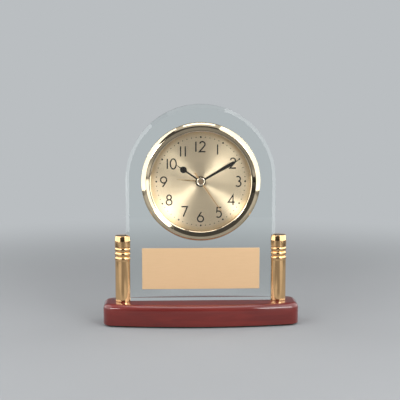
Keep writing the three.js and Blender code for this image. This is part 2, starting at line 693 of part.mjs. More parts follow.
function batteryDoor() {
  const front = coverBack - DOOR_THICK;
  const halfWidth = DOOR_WIDTH / 2;
  const low = batteryZ - DOOR_HEIGHT / 2;
  const grips = [];
  for (let n = 0; n < DOOR_GRIPS; n++) {
    const x = (n - (DOOR_GRIPS - 1) / 2) * DOOR_GRIP_PITCH;
    grips.push(boxBetween(
      x - DOOR_GRIP_WIDTH / 2, x + DOOR_GRIP_WIDTH / 2, coverBack - DOOR_GRIP_DEPTH, coverBack + 1,
      batteryZ - DOOR_GRIP_HEIGHT / 2, batteryZ + DOOR_GRIP_HEIGHT / 2));
  }
  const outline = roundedRect(-halfWidth, halfWidth, low, low + DOOR_HEIGHT, DOOR_CORNER_R);
  return shaped(slab(outline, front, coverBack, 3), [], grips);
}

function battery() {
  const half = BATTERY_LENGTH / 2;
  const profile = [
    [0, -half], [BATTERY_R - BATTERY_EDGE, -half], [BATTERY_R, -half + BATTERY_EDGE],
    [BATTERY_R, half - BATTERY_EDGE], [BATTERY_R - BATTERY_EDGE, half], [BATTERY_NIPPLE_R, half],
    [BATTERY_NIPPLE_R, half + BATTERY_NIPPLE_H], [0, half + BATTERY_NIPPLE_H],
  ];
  return revolve(profile, SMALL_ROUND).rotateZ(-Math.PI / 2).translate(0, batteryY, batteryZ);
}

// Flat spring contact at one end of the battery bay; side is +1 at the nipple
function batteryContact(side) {
  const wall = side * (CASE_HALF_WIDTH - CASE_WALL - SEAT);
  const end = side > 0 ? BATTERY_LENGTH / 2 + BATTERY_NIPPLE_H + SEAT : -BATTERY_LENGTH / 2 - SEAT;
  const back = wall - side * CONTACT_SHEET;
  const half = CONTACT_SIZE / 2;
  const plate = boxBetween(Math.min(wall, back), Math.max(wall, back), batteryY - half, batteryY + half,
    batteryZ - half, batteryZ + half);
  const root = CONTACT_SHEET / 2;
  const dimple = disc(CONTACT_DIMPLE_R, 0, Math.abs(back - end) + root, HOLE_SIDES)
    .rotateZ((side * Math.PI) / 2).translate(back + side * root, batteryY, batteryZ);
  return shaped(plate, [dimple]);
}

// Straight flanked wheel with one tooth at the given phase, in degrees from +X towards +Z
function toothed(module, teeth, phase, y0) {
  const pitchR = (module * teeth) / 2;
  const tipR = pitchR + TOOTH_TIP * module;
  const rootR = pitchR - TOOTH_ROOT * module;
  const pitch = (2 * Math.PI) / teeth;
  const land = TOOTH_LAND * pitch * (pitchR / tipR);
  const points = [];
  for (let i = 0; i < teeth; i++) {
    const a = degrees(phase) + i * pitch;
    for (const [r, turn] of [[tipR, a - land], [tipR, a + land], [rootR, a + pitch / 2]]) {
      points.push([r * Math.cos(turn), r * Math.sin(turn)]);
    }
  }
  return slab(polygonShape(points), y0, y0 + WHEEL_THICK);
}

// Rest phase of the wheel that the first one drives, in the direction from the first axis to the second
function meshPhase(phase, teeth, otherTeeth, direction) {
  return direction + 180 + 180 / otherTeeth - ((phase - direction) * teeth) / otherTeeth;
}

const bearing = (from, to) => THREE.MathUtils.radToDeg(Math.atan2(to.z - from.z, to.x - from.x));

function drivenPhase(phase, teeth, from, otherTeeth, to) {
  return meshPhase(phase, teeth, otherTeeth, bearing(from, to));
}

const intermediateWheelPhase = drivenPhase(0, PINION_TEETH, rotorAt, ROTOR_WHEEL_TEETH, intermediateAt);
const secondWheelPhase = drivenPhase(0, PINION_TEETH, intermediateAt, SECOND_TEETH, centreAt);
const thirdWheelPhase = drivenPhase(0, PINION_TEETH, centreAt, THIRD_TEETH, thirdAt);
const centreWheelPhase = drivenPhase(0, PINION_TEETH, thirdAt, CENTRE_TEETH, centreAt);
const motionWheelPhase = drivenPhase(0, CANNON_TEETH, centreAt, MOTION_TEETH, motionAt);
const hourWheelPhase = drivenPhase(0, MOTION_PINION_TEETH, motionAt, HOUR_TEETH, centreAt);
const setPinionPhase = drivenPhase(motionWheelPhase, MOTION_TEETH, motionAt, CANNON_TEETH, setAt);
const alarmGearPhase = drivenPhase(0, ALARM_TEETH, centreAt, ALARM_TEETH, alarmAt);

function arbored(wheels, y0, y1, radius = ARBOR_R) {
  return shaped(disc(radius, y0, y1, HOLE_SIDES), wheels);
}

function tubed(wheels, inner, outer, y0, y1) {
  return shaped(disc(outer, y0, y1, SMALL_ROUND), wheels, [disc(inner, y0 - 1, y1 + 1, SMALL_ROUND)]);
}

function rotor() {
  const pinion = toothed(MODULE_INTERMEDIATE, PINION_TEETH, 0, levelY(7));
  const magnet = disc(MAGNET_R, magnetFront, magnetFront + MAGNET_H, SMALL_ROUND);
  return arbored([pinion, magnet], pivotFront, pivotBack);
}

const intermediateWheel = () => arbored([
  toothed(MODULE_INTERMEDIATE, ROTOR_WHEEL_TEETH, intermediateWheelPhase, levelY(7)),
  toothed(MODULE_INTERMEDIATE, PINION_TEETH, 0, levelY(6)),
], pivotFront, pivotBack);

const secondWheel = () => arbored([
  toothed(MODULE_INTERMEDIATE, SECOND_TEETH, secondWheelPhase, levelY(6)),
  toothed(MODULE_THIRD, PINION_TEETH, 0, levelY(5)),
], handFront(4) + SEAT / 2, pivotBack, SECOND_SHAFT_R);

const thirdWheel = () => arbored([
  toothed(MODULE_THIRD, THIRD_TEETH, thirdWheelPhase, levelY(5)),
  toothed(MODULE_CENTRE, PINION_TEETH, 0, levelY(4)),
], pivotFront, pivotBack);

const centreWheel = () => tubed([
  toothed(MODULE_CENTRE, CENTRE_TEETH, centreWheelPhase, levelY(4)),
  toothed(MODULE_MOTION, CANNON_TEETH, 0, levelY(3)),
], minuteTubeInner, minuteTubeOuter, handFront(3), levelBack(4));

const motionWheel = () => tubed([
  toothed(MODULE_MOTION, MOTION_TEETH, motionWheelPhase, levelY(3)),
  toothed(MODULE_HOUR, MOTION_PINION_TEETH, 0, levelY(2)),
], STUD_R + RUN, MODULE_HOUR * MOTION_PINION_TEETH / 2 - TOOTH_ROOT * MODULE_HOUR, levelY(2), levelBack(3));

const hourWheel = () => tubed(
  [toothed(MODULE_HOUR, HOUR_TEETH, hourWheelPhase, levelY(2))],
  hourTubeInner, hourTubeOuter, handFront(2), levelBack(2));

const alarmWheel = () => tubed(
  [toothed(MODULE_ALARM, ALARM_TEETH, 0, levelY(1))],
  alarmTubeInner, alarmTubeOuter, handFront(1), levelBack(1));

const knobFront = coverBack + RUN;

const timeSetArbor = () => arbored([
  toothed(MODULE_MOTION, CANNON_TEETH, setPinionPhase, levelY(3)),
], pivotFront, knobFront + KNOB_BORE, KNOB_ARBOR_R);

const alarmSetArbor = () => arbored([
  toothed(MODULE_ALARM, ALARM_TEETH, alarmGearPhase, levelY(1)),
], pivotFront, knobFront + KNOB_BORE, KNOB_ARBOR_R);

// Ribbed knob with a blind bore for its arbor
function knob(radius) {
  const shape = new THREE.Shape();
  for (let i = 0; i < KNOB_RIBS * 2; i++) {
    const a = (Math.PI * i) / KNOB_RIBS;
    const r = radius - (i % 2) * KNOB_RIB_DEPTH;
    if (i === 0) shape.moveTo(r, 0);
    else shape.lineTo(r * Math.cos(a), r * Math.sin(a));
  }
  shape.closePath();
  const knobBack = knobFront + KNOB_HEIGHT;
  const dish = disc(radius * KNOB_DISH_SHARE, knobBack - KNOB_DISH, knobBack + 1, SMALL_ROUND);
  const bore = disc(KNOB_ARBOR_R + SEAT, knobFront - 1, knobFront + KNOB_BORE + SEAT, HOLE_SIDES);
  return shaped(slab(shape, knobFront, knobBack), [], [dish, bore]);
}

function alarmSwitch() {
  const y = coverFront + RUN;
  const plate = boxBetween(switchAt.x - SWITCH_WIDTH / 2, switchAt.x + SWITCH_WIDTH / 2, y, y + SWITCH_PLATE,
    switchAt.z - SWITCH_HEIGHT / 2, switchAt.z + SWITCH_HEIGHT / 2);
  const tab = boxBetween(switchAt.x - SWITCH_TAB / 2, switchAt.x + SWITCH_TAB / 2, y + SWITCH_PLATE / 2,
    coverBack + SWITCH_PROUD, switchAt.z - SWITCH_TAB / 2, switchAt.z + SWITCH_TAB / 2);
  return shaped(plate.translate(-SWITCH_TRAVEL / 2, 0, 0), [tab.translate(-SWITCH_TRAVEL / 2, 0, 0)]);
}

// Stator: one flat lamination with the rotor hole in its upright leg and an arm to each end of the core
const statorFront = magnetFront + 0.7;
const statorBack = statorFront + STATOR_THICK;
const armLow = 0.6 - SEAT;
const armHigh = armLow + COIL_LENGTH + 2 * SEAT;
function stator() {
  const left = rotorAt.x - STATOR_ARM - RUN;
  const right = COIL_AXIS_X + COIL_R;
  const leg = rotorAt.x + STATOR_ARM + RUN;
  const shoulder = STATOR_EYE - STATOR_EYE_OUT;
  const outline = polygonShape([
    [left, armLow - STATOR_ARM], [right, armLow - STATOR_ARM], [right, armLow], [leg, armLow],
    [leg, rotorAt.z - STATOR_EYE], [leg + STATOR_EYE_OUT, rotorAt.z - shoulder],
    [leg + STATOR_EYE_OUT, rotorAt.z + shoulder], [leg, rotorAt.z + STATOR_EYE],
    [leg, armHigh], [right, armHigh], [right, armHigh + STATOR_ARM], [left, armHigh + STATOR_ARM],
    [left, rotorAt.z + STATOR_EYE], [left - STATOR_EYE_OUT, rotorAt.z + shoulder],
    [left - STATOR_EYE_OUT, rotorAt.z - shoulder], [left, rotorAt.z - STATOR_EYE],
  ]);
  const hole = disc(MAGNET_R + RUN, statorFront - 1, statorBack + 1, SMALL_ROUND)
    .translate(rotorAt.x, 0, rotorAt.z);
  return shaped(slab(outline, statorFront, statorBack), [], [hole]);
}

const coreFront = statorBack + SEAT;
const coilCore = () => boxBetween(COIL_AXIS_X - CORE_WIDTH / 2, COIL_AXIS_X + CORE_WIDTH / 2,
  coreFront, coreFront + CORE_THICK, armLow - STATOR_ARM + FIT, armHigh + STATOR_ARM - FIT);

// Wound coil between two flanges, with a square bore for the core
function driveCoil() {
  const axisY = coreFront + CORE_THICK / 2;
  const low = armLow + SEAT;
  const high = low + COIL_LENGTH;
  const profile = [
    [0, low], [COIL_R, low], [COIL_R, low + COIL_FLANGE], [COIL_R - COIL_FLANGE_LIP, low + COIL_FLANGE],
    [COIL_R - COIL_FLANGE_LIP, high - COIL_FLANGE], [COIL_R, high - COIL_FLANGE], [COIL_R, high], [0, high],
  ];
  const halfBore = CORE_WIDTH / 2 + SEAT;
  const bore = boxBetween(COIL_AXIS_X - halfBore, COIL_AXIS_X + halfBore, coreFront - SEAT,
    coreFront + CORE_THICK + SEAT, low - 1, high + 1);
  const body = revolve(profile, SMALL_ROUND).rotateX(Math.PI / 2).translate(COIL_AXIS_X, axisY, 0);
  return shaped(body, [], [bore]);
}

const boardBack = chamberBack - FIT - BUZZER_THICK - SEAT;
const boardLeft = -CASE_HALF_WIDTH + CASE_WALL + SEAT;
const boardTop = chamberTop - SEAT;
const circuitBoard = () => boxBetween(boardLeft, boardLeft + BOARD_WIDTH, boardBack - BOARD_THICK, boardBack,
  boardTop - BOARD_HEIGHT, boardTop);

const buzzer = () => disc(BUZZER_R, boardBack + SEAT, boardBack + SEAT + BUZZER_THICK, SMALL_ROUND * 2)
  .translate(buzzerAt.x, 0, buzzerAt.z);

const quartzCrystal = () => disc(CRYSTAL_R, 0, CRYSTAL_LENGTH, HOLE_SIDES).rotateZ(-Math.PI / 2)
  .translate(boardLeft + 2, boardBack - BOARD_THICK - SEAT - CRYSTAL_R, boardTop - 3);

// Hands point to 12 in their own frame and turn about the clock axis
function handBlade(outline, hubR, holeR, level) {
  const shape = polygonShape([...outline, ...outline.map(([x, z]) => [-x, z]).reverse()]);
  const blade = slab(shape, handFront(level), handBack(level));
  const hub = disc(hubR, handFront(level), handBack(level), COLUMN_SIDES);
  return shaped(blade, [hub], [disc(holeR, handFront(level) - 1, handBack(level) + 1, SMALL_ROUND)]);
}

function hourHand() {
  const bulbZ = HOUR_LENGTH - HOUR_POINT;
  const outline = [[HAND_STEM, 0]];
  for (let i = 0; i <= 8; i++) {
    const a = degrees(-76 + (i * 145) / 8);
    outline.push([HOUR_BULB_R * Math.cos(a), bulbZ + HOUR_BULB_R * Math.sin(a)]);
  }
  outline.push([HAND_STEM * 0.75, bulbZ + HOUR_BULB_R * 1.25], [HAND_TIP, HOUR_LENGTH]);
  return handBlade(outline, HOUR_HUB_R, hourTubeOuter + SEAT, 2);
}

function minuteHand() {
  const widestZ = MINUTE_LENGTH - MINUTE_POINT;
  const outline = [
    [HAND_STEM, 0], [MINUTE_WIDEST * 0.72, widestZ * 0.57], [MINUTE_WIDEST, widestZ],
    [MINUTE_WIDEST * 0.42, widestZ + MINUTE_POINT * 0.25], [HAND_TIP, MINUTE_LENGTH],
  ];
  return handBlade(outline, MINUTE_HUB_R, minuteTubeOuter + SEAT, 3);
}

const secondHand = () => handBlade(
  [[SECOND_TAIL_WIDTH, -SECOND_TAIL], [SECOND_TAIL_WIDTH * 0.55, 0], [HAND_TIP, SECOND_LENGTH]],
  SECOND_HUB_R, SECOND_SHAFT_R + SEAT, 4);

const alarmHand = () => handBlade(
  [[ALARM_WIDTH, 0], [ALARM_WIDTH * 0.85, ALARM_LENGTH * 0.6], [HAND_TIP, ALARM_LENGTH]],
  ALARM_HUB_R, alarmTubeOuter + SEAT, 1);

function centreCap() {
  const back = handFront(4) - SEAT;
  return revolve([
    [0, back], [CAP_RING_R, back], [CAP_RING_R, back - 0.35], [CAP_RING_R - 0.35, back - 0.75],
    [CAP_DISC_R + 0.15, back - 0.75], [CAP_DISC_R, back - 0.5], [0, back - 0.65],
  ], COLUMN_SIDES);
}

function build() {
  const clock = new THREE.Group();
  clock.add(
    mesh('base_plinth', plinth(), ROSEWOOD),
    mesh('felt_pad', feltPad(), FELT),
    mesh('column_left', column(-1), BRASS),
    mesh('column_right', column(1), BRASS),
    mesh('column_screw_left', columnScrew(-1), STEEL),
    mesh('column_screw_right', columnScrew(1), STEEL),
    mesh('glass_plate', glassPlate(), CLEAR_GLASS),
    mesh('engraving_plate', engravingPlate(), SATIN_BRASS),
  );
  const insert = new THREE.Group();
  insert.position.z = clockZ;
  insert.add(
    mesh('bezel', bezel(), BRASS),
    mesh('lens', disc(lensR, lensFront, lensBack), CLEAR_GLASS),
    mesh('case_cup', caseCup(), BRASS),
    mesh('hole_gasket', gasket(), GREY_RUBBER),
    mesh('reflector_ring', reflectorRing(), BRASS),
    mesh('dial', ring(centreHoleR, dialR, dialFront, dialBack), DIAL_GOLD),
    mesh('movement_front_plate', frontPlate(), WHITE_PLASTIC),
    mesh('movement_case', movementCase(), BLACK_PLASTIC),
    mesh('train_bridge', trainBridge(), WHITE_PLASTIC),
    mesh('back_cover', backCover(), BLACK_PLASTIC),
    mesh('battery_door', batteryDoor(), BLACK_PLASTIC),
    mesh('battery', battery(), STEEL),
    mesh('battery_contact_plus', batteryContact(1), STEEL),
    mesh('battery_contact_minus', batteryContact(-1), STEEL),
    mesh('rotor', rotor(), MAGNET, rotorAt),
    mesh('stator', stator(), STEEL),
    mesh('coil_core', coilCore(), STEEL),
    mesh('drive_coil', driveCoil(), COPPER),
    mesh('intermediate_wheel', intermediateWheel(), WHITE_PLASTIC, intermediateAt),
    mesh('second_wheel', secondWheel(), WHITE_PLASTIC),
    mesh('third_wheel', thirdWheel(), WHITE_PLASTIC, thirdAt),
    mesh('centre_wheel', centreWheel(), WHITE_PLASTIC),
    mesh('motion_wheel', motionWheel(), WHITE_PLASTIC, motionAt),
    mesh('hour_wheel', hourWheel(), WHITE_PLASTIC),
    mesh('alarm_wheel', alarmWheel(), WHITE_PLASTIC),
    mesh('time_set_arbor', timeSetArbor(), WHITE_PLASTIC, setAt),
    mesh('time_set_knob', knob(SET_KNOB_R), BLACK_PLASTIC, setAt),
    mesh('alarm_set_arbor', alarmSetArbor(), WHITE_PLASTIC, alarmAt),
    mesh('alarm_set_knob', knob(ALARM_KNOB_R), BLACK_PLASTIC, alarmAt),
    mesh('alarm_switch', alarmSwitch(), WHITE_PLASTIC),
    mesh('circuit_board', circuitBoard(), BOARD),
    mesh('quartz_crystal', quartzCrystal(), STEEL),
    mesh('buzzer', buzzer(), BRASS),
    mesh('centre_cap', centreCap(), BRASS),
  );
  const hands = { hour: hourHand(), minute: minuteHand(), second: secondHand(), alarm: alarmHand() };
  for (const [name, blade] of Object.entries(hands)) {
    const gold = name === 'second' || name === 'alarm';
    const hand = mesh(`${name}_hand`, blade, gold ? BRASS : HAND_BLACK);
    hand.rotation.y = degrees(HANDS_SHOW[name]);
    insert.add(hand);
  }
  clock.add(insert);
  return clock;
}

export default build();
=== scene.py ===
"""Looks of the glass arch desk clock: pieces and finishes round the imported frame, studio and camera."""
import math

import bmesh
import bpy
from mathutils import Matrix, Vector


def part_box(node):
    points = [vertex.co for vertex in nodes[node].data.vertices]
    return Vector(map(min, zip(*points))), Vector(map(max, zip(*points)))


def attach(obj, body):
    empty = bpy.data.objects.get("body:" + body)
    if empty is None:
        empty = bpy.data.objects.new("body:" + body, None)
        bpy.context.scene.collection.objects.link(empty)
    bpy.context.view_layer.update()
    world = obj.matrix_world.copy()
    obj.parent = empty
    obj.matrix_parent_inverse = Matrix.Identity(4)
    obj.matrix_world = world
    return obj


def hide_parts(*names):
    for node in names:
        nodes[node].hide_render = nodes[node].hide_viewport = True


MM = 0.001
SEAT = 0.1  # between parts that rest on each other, in millimetres
FIT = 0.3  # round a part that goes into another, in millimetres

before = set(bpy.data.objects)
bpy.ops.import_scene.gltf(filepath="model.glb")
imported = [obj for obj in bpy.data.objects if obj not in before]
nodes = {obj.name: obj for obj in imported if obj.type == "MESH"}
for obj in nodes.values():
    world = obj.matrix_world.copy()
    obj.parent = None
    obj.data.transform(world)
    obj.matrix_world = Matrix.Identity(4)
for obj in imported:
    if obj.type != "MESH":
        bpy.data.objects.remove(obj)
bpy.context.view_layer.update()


# ---------------------------------------------------------------- sizes in millimetres, from the frame

def span(node, axis):
    """Lowest and highest place of a node along an axis, in millimetres."""
    low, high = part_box(node)
    return low[axis] / MM, high[axis] / MM


def middle(node, axis):
    low, high = span(node, axis)
    return (low + high) / 2


ACROSS, DEEP, UP = 0, 1, 2
CLOCK_Z = middle("bezel", UP)
BEZEL_R = span("bezel", ACROSS)[1]
BEZEL_FRONT, BEZEL_BACK = span("bezel", DEEP)
BEZEL_CREST_R = 46.4
BEZEL_INNER_R = 42.4
BEZEL_RIM = 1.0
BEZEL_SLOPE_FOOT_R = 43.9
BEZEL_SLOPE_DROP = 0.82
LENS_R = span("lens", ACROSS)[1]
LENS_FRONT, LENS_BACK = span("lens", DEEP)
DIAL_R = span("dial", ACROSS)[1]
DIAL_FRONT, DIAL_BACK = span("dial", DEEP)
DIAL_HOLE_R = 3.6
CUP_R = 44.2
CUP_WALL = 0.9
CUP_EDGE = 0.25
CUP_FLANGE_R = span("case_cup", ACROSS)[1]
CUP_FRONT, CUP_BACK = span("case_cup", DEEP)
RING_FRONT, RING_BACK = span("reflector_ring", DEEP)
GLASS_HALF = span("glass_plate", ACROSS)[1]
GLASS_FRONT, GLASS_BACK = span("glass_plate", DEEP)
GLASS_LOW, GLASS_TOP = span("glass_plate", UP)
GLASS_HOLE_R = 45.2
GLASS_BEVEL = 3.0
GLASS_BEVEL_DEPTH = 1.5
GLASS_ARRIS = 0.3
PLATE_EDGE = 0.22
LENS_EDGE = 0.2
REFLECTOR_WALL = 0.7
BASE_HALF = span("base_plinth", ACROSS)[1]
BASE_HALF_DEPTH = span("base_plinth", DEEP)[1]
BASE_LOW, BASE_TOP = span("base_plinth", UP)
BASE_BOW = 8.6
BASE_CORNER_R = 9.0
BASE_TOP_R = 4.6
BASE_BOTTOM_R = 0.8
COLUMN_R = 7.0
SHAFT_R = 6.75
COLUMN_X = -span("column_left", ACROSS)[0] - COLUMN_R
COLUMN_TOP = span("column_left", UP)[1]
CAP_HEIGHT = 10.0
CAP_TAPER = 0.45
CAP_TAPER_HEIGHT = 4.4
CAP_EDGE_R = 0.5
BEADS = 3
BEAD_PITCH = 4.0
BEAD_GROOVE = 0.75
COVER_FRONT, COVER_BACK = span("back_cover", DEEP)
COVER_FLANGE = 1.1
DOOR_LEDGE = 1.2
KNOB_HOLE_R = 1.3
SOUND_HOLE_R = 0.9
SOUND_HOLE_Z = 136.2
SOUND_HOLE_X = (-20.0, -16.0, -12.0)
SWITCH_TRAVEL = 4.0
SWITCH_TAB = 1.6
SWITCH_POCKET = 1.6
HAND_EDGE = 0.06
SOFTEN_ANGLE = 40.0  # degrees; sharper edges get rounded
# degrees clockwise from 12
HANDS_SHOW = {"hour": 304.3, "minute": 60.2, "second": 145.5, "alarm": 274.8}


# ---------------------------------------------------------------- colours and node maths

def tone(red, green, blue):
    """A colour written as 0 to 255 display values, as the linear colour that a socket takes."""
    def linear(level):
        level /= 255
        return level / 12.92 if level <= 0.04045 else ((level + 0.055) / 1.055) ** 2.4
    return tuple(linear(level) for level in (red, green, blue)) + (1.0,)


def dimmed(colour, share):
    return tuple(share * level for level in colour[:3]) + (1.0,)


class Term:
    """One output in a paint's nodes, written in sums as if it were a number."""

    def __init__(self, paint, socket):
        self.paint = paint
        self.socket = socket

    def maths(self, operation, *values):
        return self.paint.node("ShaderNodeMath", {"operation": operation}, dict(enumerate(values)))

    def __add__(self, other):
        return self.maths("ADD", self, other)

    def __sub__(self, other):
        return self.maths("SUBTRACT", self, other)

    def __mul__(self, other):
        return self.maths("MULTIPLY", self, other)

    def __truediv__(self, other):
        return self.maths("DIVIDE", self, other)

    def __pow__(self, other):
        return self.maths("POWER", self, other)

    def __radd__(self, other):
        return self.maths("ADD", other, self)

    def __rsub__(self, other):
        return self.maths("SUBTRACT", other, self)

    def __rmul__(self, other):
        return self.maths("MULTIPLY", other, self)

    def __rtruediv__(self, other):
        return self.maths("DIVIDE", other, self)

    def __abs__(self):
        return self.maths("ABSOLUTE", self)

    def wave(self):
        return self.maths("SINE", self)

    def largest(self, other):
        return self.maths("MAXIMUM", self, other)


class Paint:
    """A material that is made node by node."""

    def __init__(self, name):
        self.material = bpy.data.materials.new(name)
        self.material.use_nodes = True
        self.tree = self.material.node_tree
        self.tree.nodes.clear()

    def feed(self, socket, value):
        if isinstance(value, Term):
            self.tree.links.new(value.socket, socket)
        else:
            socket.default_value = value

    def node(self, kind, settings=None, inputs=None, out=0):
        made = self.tree.nodes.new(kind)
        for key, value in (settings or {}).items():
            setattr(made, key, value)
        for key, value in (inputs or {}).items():
            self.feed(made.inputs[key], value)
        return Term(self, made.outputs[out]) if made.outputs else made

    def place(self):
        """Object coordinates, which are the frame's own metres."""
        return self.node("ShaderNodeTexCoord", out="Object")

    def stretched(self, scale):
        return self.node("ShaderNodeMapping", inputs={"Vector": self.place(), "Scale": scale})

    def parts_of(self, vector):
        split = self.node("ShaderNodeSeparateXYZ", inputs={0: vector}).socket.node
        return [Term(self, socket) for socket in split.outputs]

    def joined(self, x, y, z):
        return self.node("ShaderNodeCombineXYZ", inputs={0: x, 1: y, 2: z})

    def noise(self, vector, scale, detail, roughness, distortion=0.0):
        return self.node("ShaderNodeTexNoise", inputs={
            "Vector": vector, "Scale": scale, "Detail": detail, "Roughness": roughness,
            "Distortion": distortion})

    def eased(self, value, low, high):
        """0 up to the low value and 1 from the high one, with a soft step between."""
        return self.node("ShaderNodeMapRange", {"interpolation_type": "SMOOTHSTEP"}, {
            "Value": value, "From Min": low, "From Max": high})

    def mixed(self, factor, first, second):
        return self.node("ShaderNodeMix", {"data_type": "RGBA"}, {0: factor, 6: first, 7: second}, out=2)

    def bump(self, height, distance, strength=1.0):
        return self.node("ShaderNodeBump", inputs={
            "Height": height, "Distance": distance, "Strength": strength})

    def surface(self, **sockets):
        """The Principled shader; names of sockets are written with _ for a space."""
        inputs = {name.replace("_", " "): value for name, value in sockets.items()}
        return self.node("ShaderNodeBsdfPrincipled", inputs=inputs)

    def finished(self, shader):
        self.node("ShaderNodeOutputMaterial", inputs={"Surface": shader})
        return self.material


# ---------------------------------------------------------------- finishes

def lacquered_rosewood():
    paint = Paint("lacquered_rosewood")
    grain_place = paint.stretched((9.0, 60.0, 90.0))
    waves = paint.noise(grain_place, 2.0, 5.0, 0.6, 0.8)
    figure = paint.noise(paint.stretched((5.0, 22.0, 30.0)), 1.0, 2.0, 0.5, 1.5)
    pores = paint.noise(paint.stretched((60.0, 900.0, 900.0)), 1.0, 2.0, 0.6)
    wood = paint.mixed(paint.eased(waves, 0.35, 0.7), tone(96, 28, 24), tone(109, 34, 28))
    wood = paint.mixed(paint.eased(figure, 0.4, 0.62) * 0.35, wood, tone(82, 26, 24))
    wood = paint.mixed(paint.eased(pores, 0.62, 0.75) * 0.35, wood, tone(60, 20, 19))
    ripple = paint.noise(paint.place(), 140.0, 2.0, 0.5)
    return paint.finished(paint.surface(
        Base_Color=wood, Roughness=0.3 + 0.12 * waves, Specular_IOR_Level=0.15, Coat_Weight=0.92,
        Coat_Roughness=0.03, Normal=paint.bump(ripple, 0.00002, 0.5)))


def polished_brass(name, roughness, colour, metallic=1.0):
    paint = Paint(name)
    cloud = paint.noise(paint.place(), 90.0, 3.0, 0.55)
    hairlines = paint.noise(paint.stretched((300.0, 300.0, 2600.0)), 1.0, 3.0, 0.6)
    shade = paint.mixed(paint.eased(cloud, 0.35, 0.75), colour, dimmed(colour, 0.9))
    return paint.finished(paint.surface(
        Base_Color=shade, Metallic=metallic, Roughness=roughness + 0.05 * paint.eased(cloud, 0.4, 0.8),
        Normal=paint.bump(hairlines, 0.000003, 0.35)))


def cap_brass():
    """Pale brass bead round a satin middle painted dark brown as a painted reflection of the dim front; the
    piece's own Z is the axis.
    """
    paint = Paint("cap_brass")
    x, y, _ = paint.parts_of(paint.place())
    middle_part = 1.0 - paint.eased((x * x + y * y) ** 0.5, 0.00225, 0.0025)
    grain = paint.noise(paint.place(), 1500.0, 3.0, 0.6)
    # painted reflection: the middle's dark brown stands in for the dim front that the recessed disc reflects,
    # not the brass's own colour
    satin_painted_dark = paint.mixed(grain, tone(126, 104, 80), tone(142, 118, 92))
    shade = paint.mixed(middle_part, tone(236, 226, 206), satin_painted_dark)
    return paint.finished(paint.surface(
        Base_Color=shade, Metallic=1.0, Roughness=0.12 + 0.3 * middle_part,
        Normal=paint.bump(grain, 0.000004, 0.4)))


def satin_plate_brass():
    paint = Paint("satin_plate_brass")
    strokes = paint.noise(paint.stretched((120.0, 6000.0, 7000.0)), 1.0, 4.0, 0.7)
    cloud = paint.noise(paint.place(), 35.0, 2.0, 0.5)
    gold = paint.mixed(paint.eased(strokes, 0.3, 0.75), tone(214, 179, 138), tone(220, 186, 145))
    return paint.finished(paint.surface(
        Base_Color=gold, Metallic=0.35, Roughness=0.44 + 0.08 * cloud + 0.06 * strokes,
        Normal=paint.bump(strokes, 0.00001, 0.4)))


DIAL_DISH = 0.0042  # metres that the shading takes the rim of the flat dial to stand out


def turned_gold_dial():
    """Circular brushed gold with painted shade round its rim; the piece's own Z is the dial axis, so the
    tangent runs round the dial.
    """
    paint = Paint("turned_gold_dial")
    x, y, _ = paint.parts_of(paint.place())
    radius = (x * x + y * y) ** 0.5
    turn = paint.node("ShaderNodeMath", {"operation": "ARCTAN2"}, {0: y, 1: x})
    rings = paint.noise(paint.joined(radius * 5200.0, turn * 1.6, 0.0), 1.0, 3.0, 0.65)
    bands = paint.noise(paint.joined(radius * 900.0, turn * 0.8, 4.0), 1.0, 2.0, 0.5)
    # painted shade: the outer rim is painted darker and browner all round, standing in for the shade under
    # the bezel's lip
    edge = paint.eased(radius, 0.036, 0.043)
    gold = paint.mixed(paint.eased(rings, 0.3, 0.7), tone(224, 202, 168), tone(236, 216, 186))
    gold = paint.mixed(edge * 0.6, gold, tone(202, 164, 108))
    dish = (radius / 0.043) ** 4.0
    return paint.finished(paint.surface(
        Base_Color=gold, Metallic=1.0, Roughness=0.34 + 0.05 * rings + 0.03 * bands, Anisotropic=0.95,
        Anisotropic_Rotation=0.25, Normal=paint.bump(dish, DIAL_DISH)))


def black_enamel():
    paint = Paint("black_enamel")
    specks = paint.noise(paint.place(), 2600.0, 2.0, 0.5)
    black = paint.mixed(specks, tone(14, 9, 5), tone(26, 18, 11))
    return paint.finished(paint.surface(
        Base_Color=black, Roughness=0.45 + 0.1 * specks, Specular_IOR_Level=0.1,
        Normal=paint.bump(specks, 0.000004, 0.4)))


def printed_ink():
    paint = Paint("printed_ink")
    grain = paint.noise(paint.place(), 3000.0, 2.0, 0.6)
    ink = paint.mixed(grain, tone(18, 12, 7), tone(34, 24, 15))
    return paint.finished(paint.surface(Base_Color=ink, Roughness=0.55 + 0.1 * grain, Specular_IOR_Level=0.1))


def moulded_plastic(name, colour, roughness=0.45, texture=0.3):
    paint = Paint(name)
    grain = paint.noise(paint.place(), 2200.0, 3.0, 0.6)
    cloud = paint.noise(paint.place(), 60.0, 2.0, 0.5)
    body = paint.mixed(paint.eased(cloud, 0.3, 0.7), colour, dimmed(colour, 0.82))
    return paint.finished(paint.surface(
        Base_Color=body, Roughness=roughness + 0.14 * grain, Normal=paint.bump(grain, 0.00002, texture)))


def clear_glass(name, colour=tone(246, 251, 250), ior=1.5):
    """Clear glass that lets the lamps through to what is behind it."""
    paint = Paint(name)
    glass = paint.surface(Base_Color=colour, Roughness=0.0, IOR=ior, Transmission_Weight=1.0)
    through = paint.node("ShaderNodeBsdfTransparent", inputs={0: tone(246, 250, 249)})
    shadow = paint.node("ShaderNodeLightPath", out="Is Shadow Ray")
    return paint.finished(paint.node("ShaderNodeMixShader", inputs={0: shadow, 1: glass, 2: through}))


def wool_felt():
    paint = Paint("wool_felt")
    fibres = paint.noise(paint.stretched((900.0, 1400.0, 1400.0)), 1.0, 5.0, 0.75, 2.0)
    clumps = paint.noise(paint.place(), 260.0, 3.0, 0.6)
    green = paint.mixed(paint.eased(fibres, 0.35, 0.7), tone(20, 44, 33), tone(44, 82, 62))
    green = paint.mixed(0.4 * clumps, green, tone(16, 34, 26))
    return paint.finished(paint.surface(
        Base_Color=green, Roughness=0.95, Sheen_Weight=0.4,
        Normal=paint.bump(fibres + 0.5 * clumps, 0.0003, 0.8)))


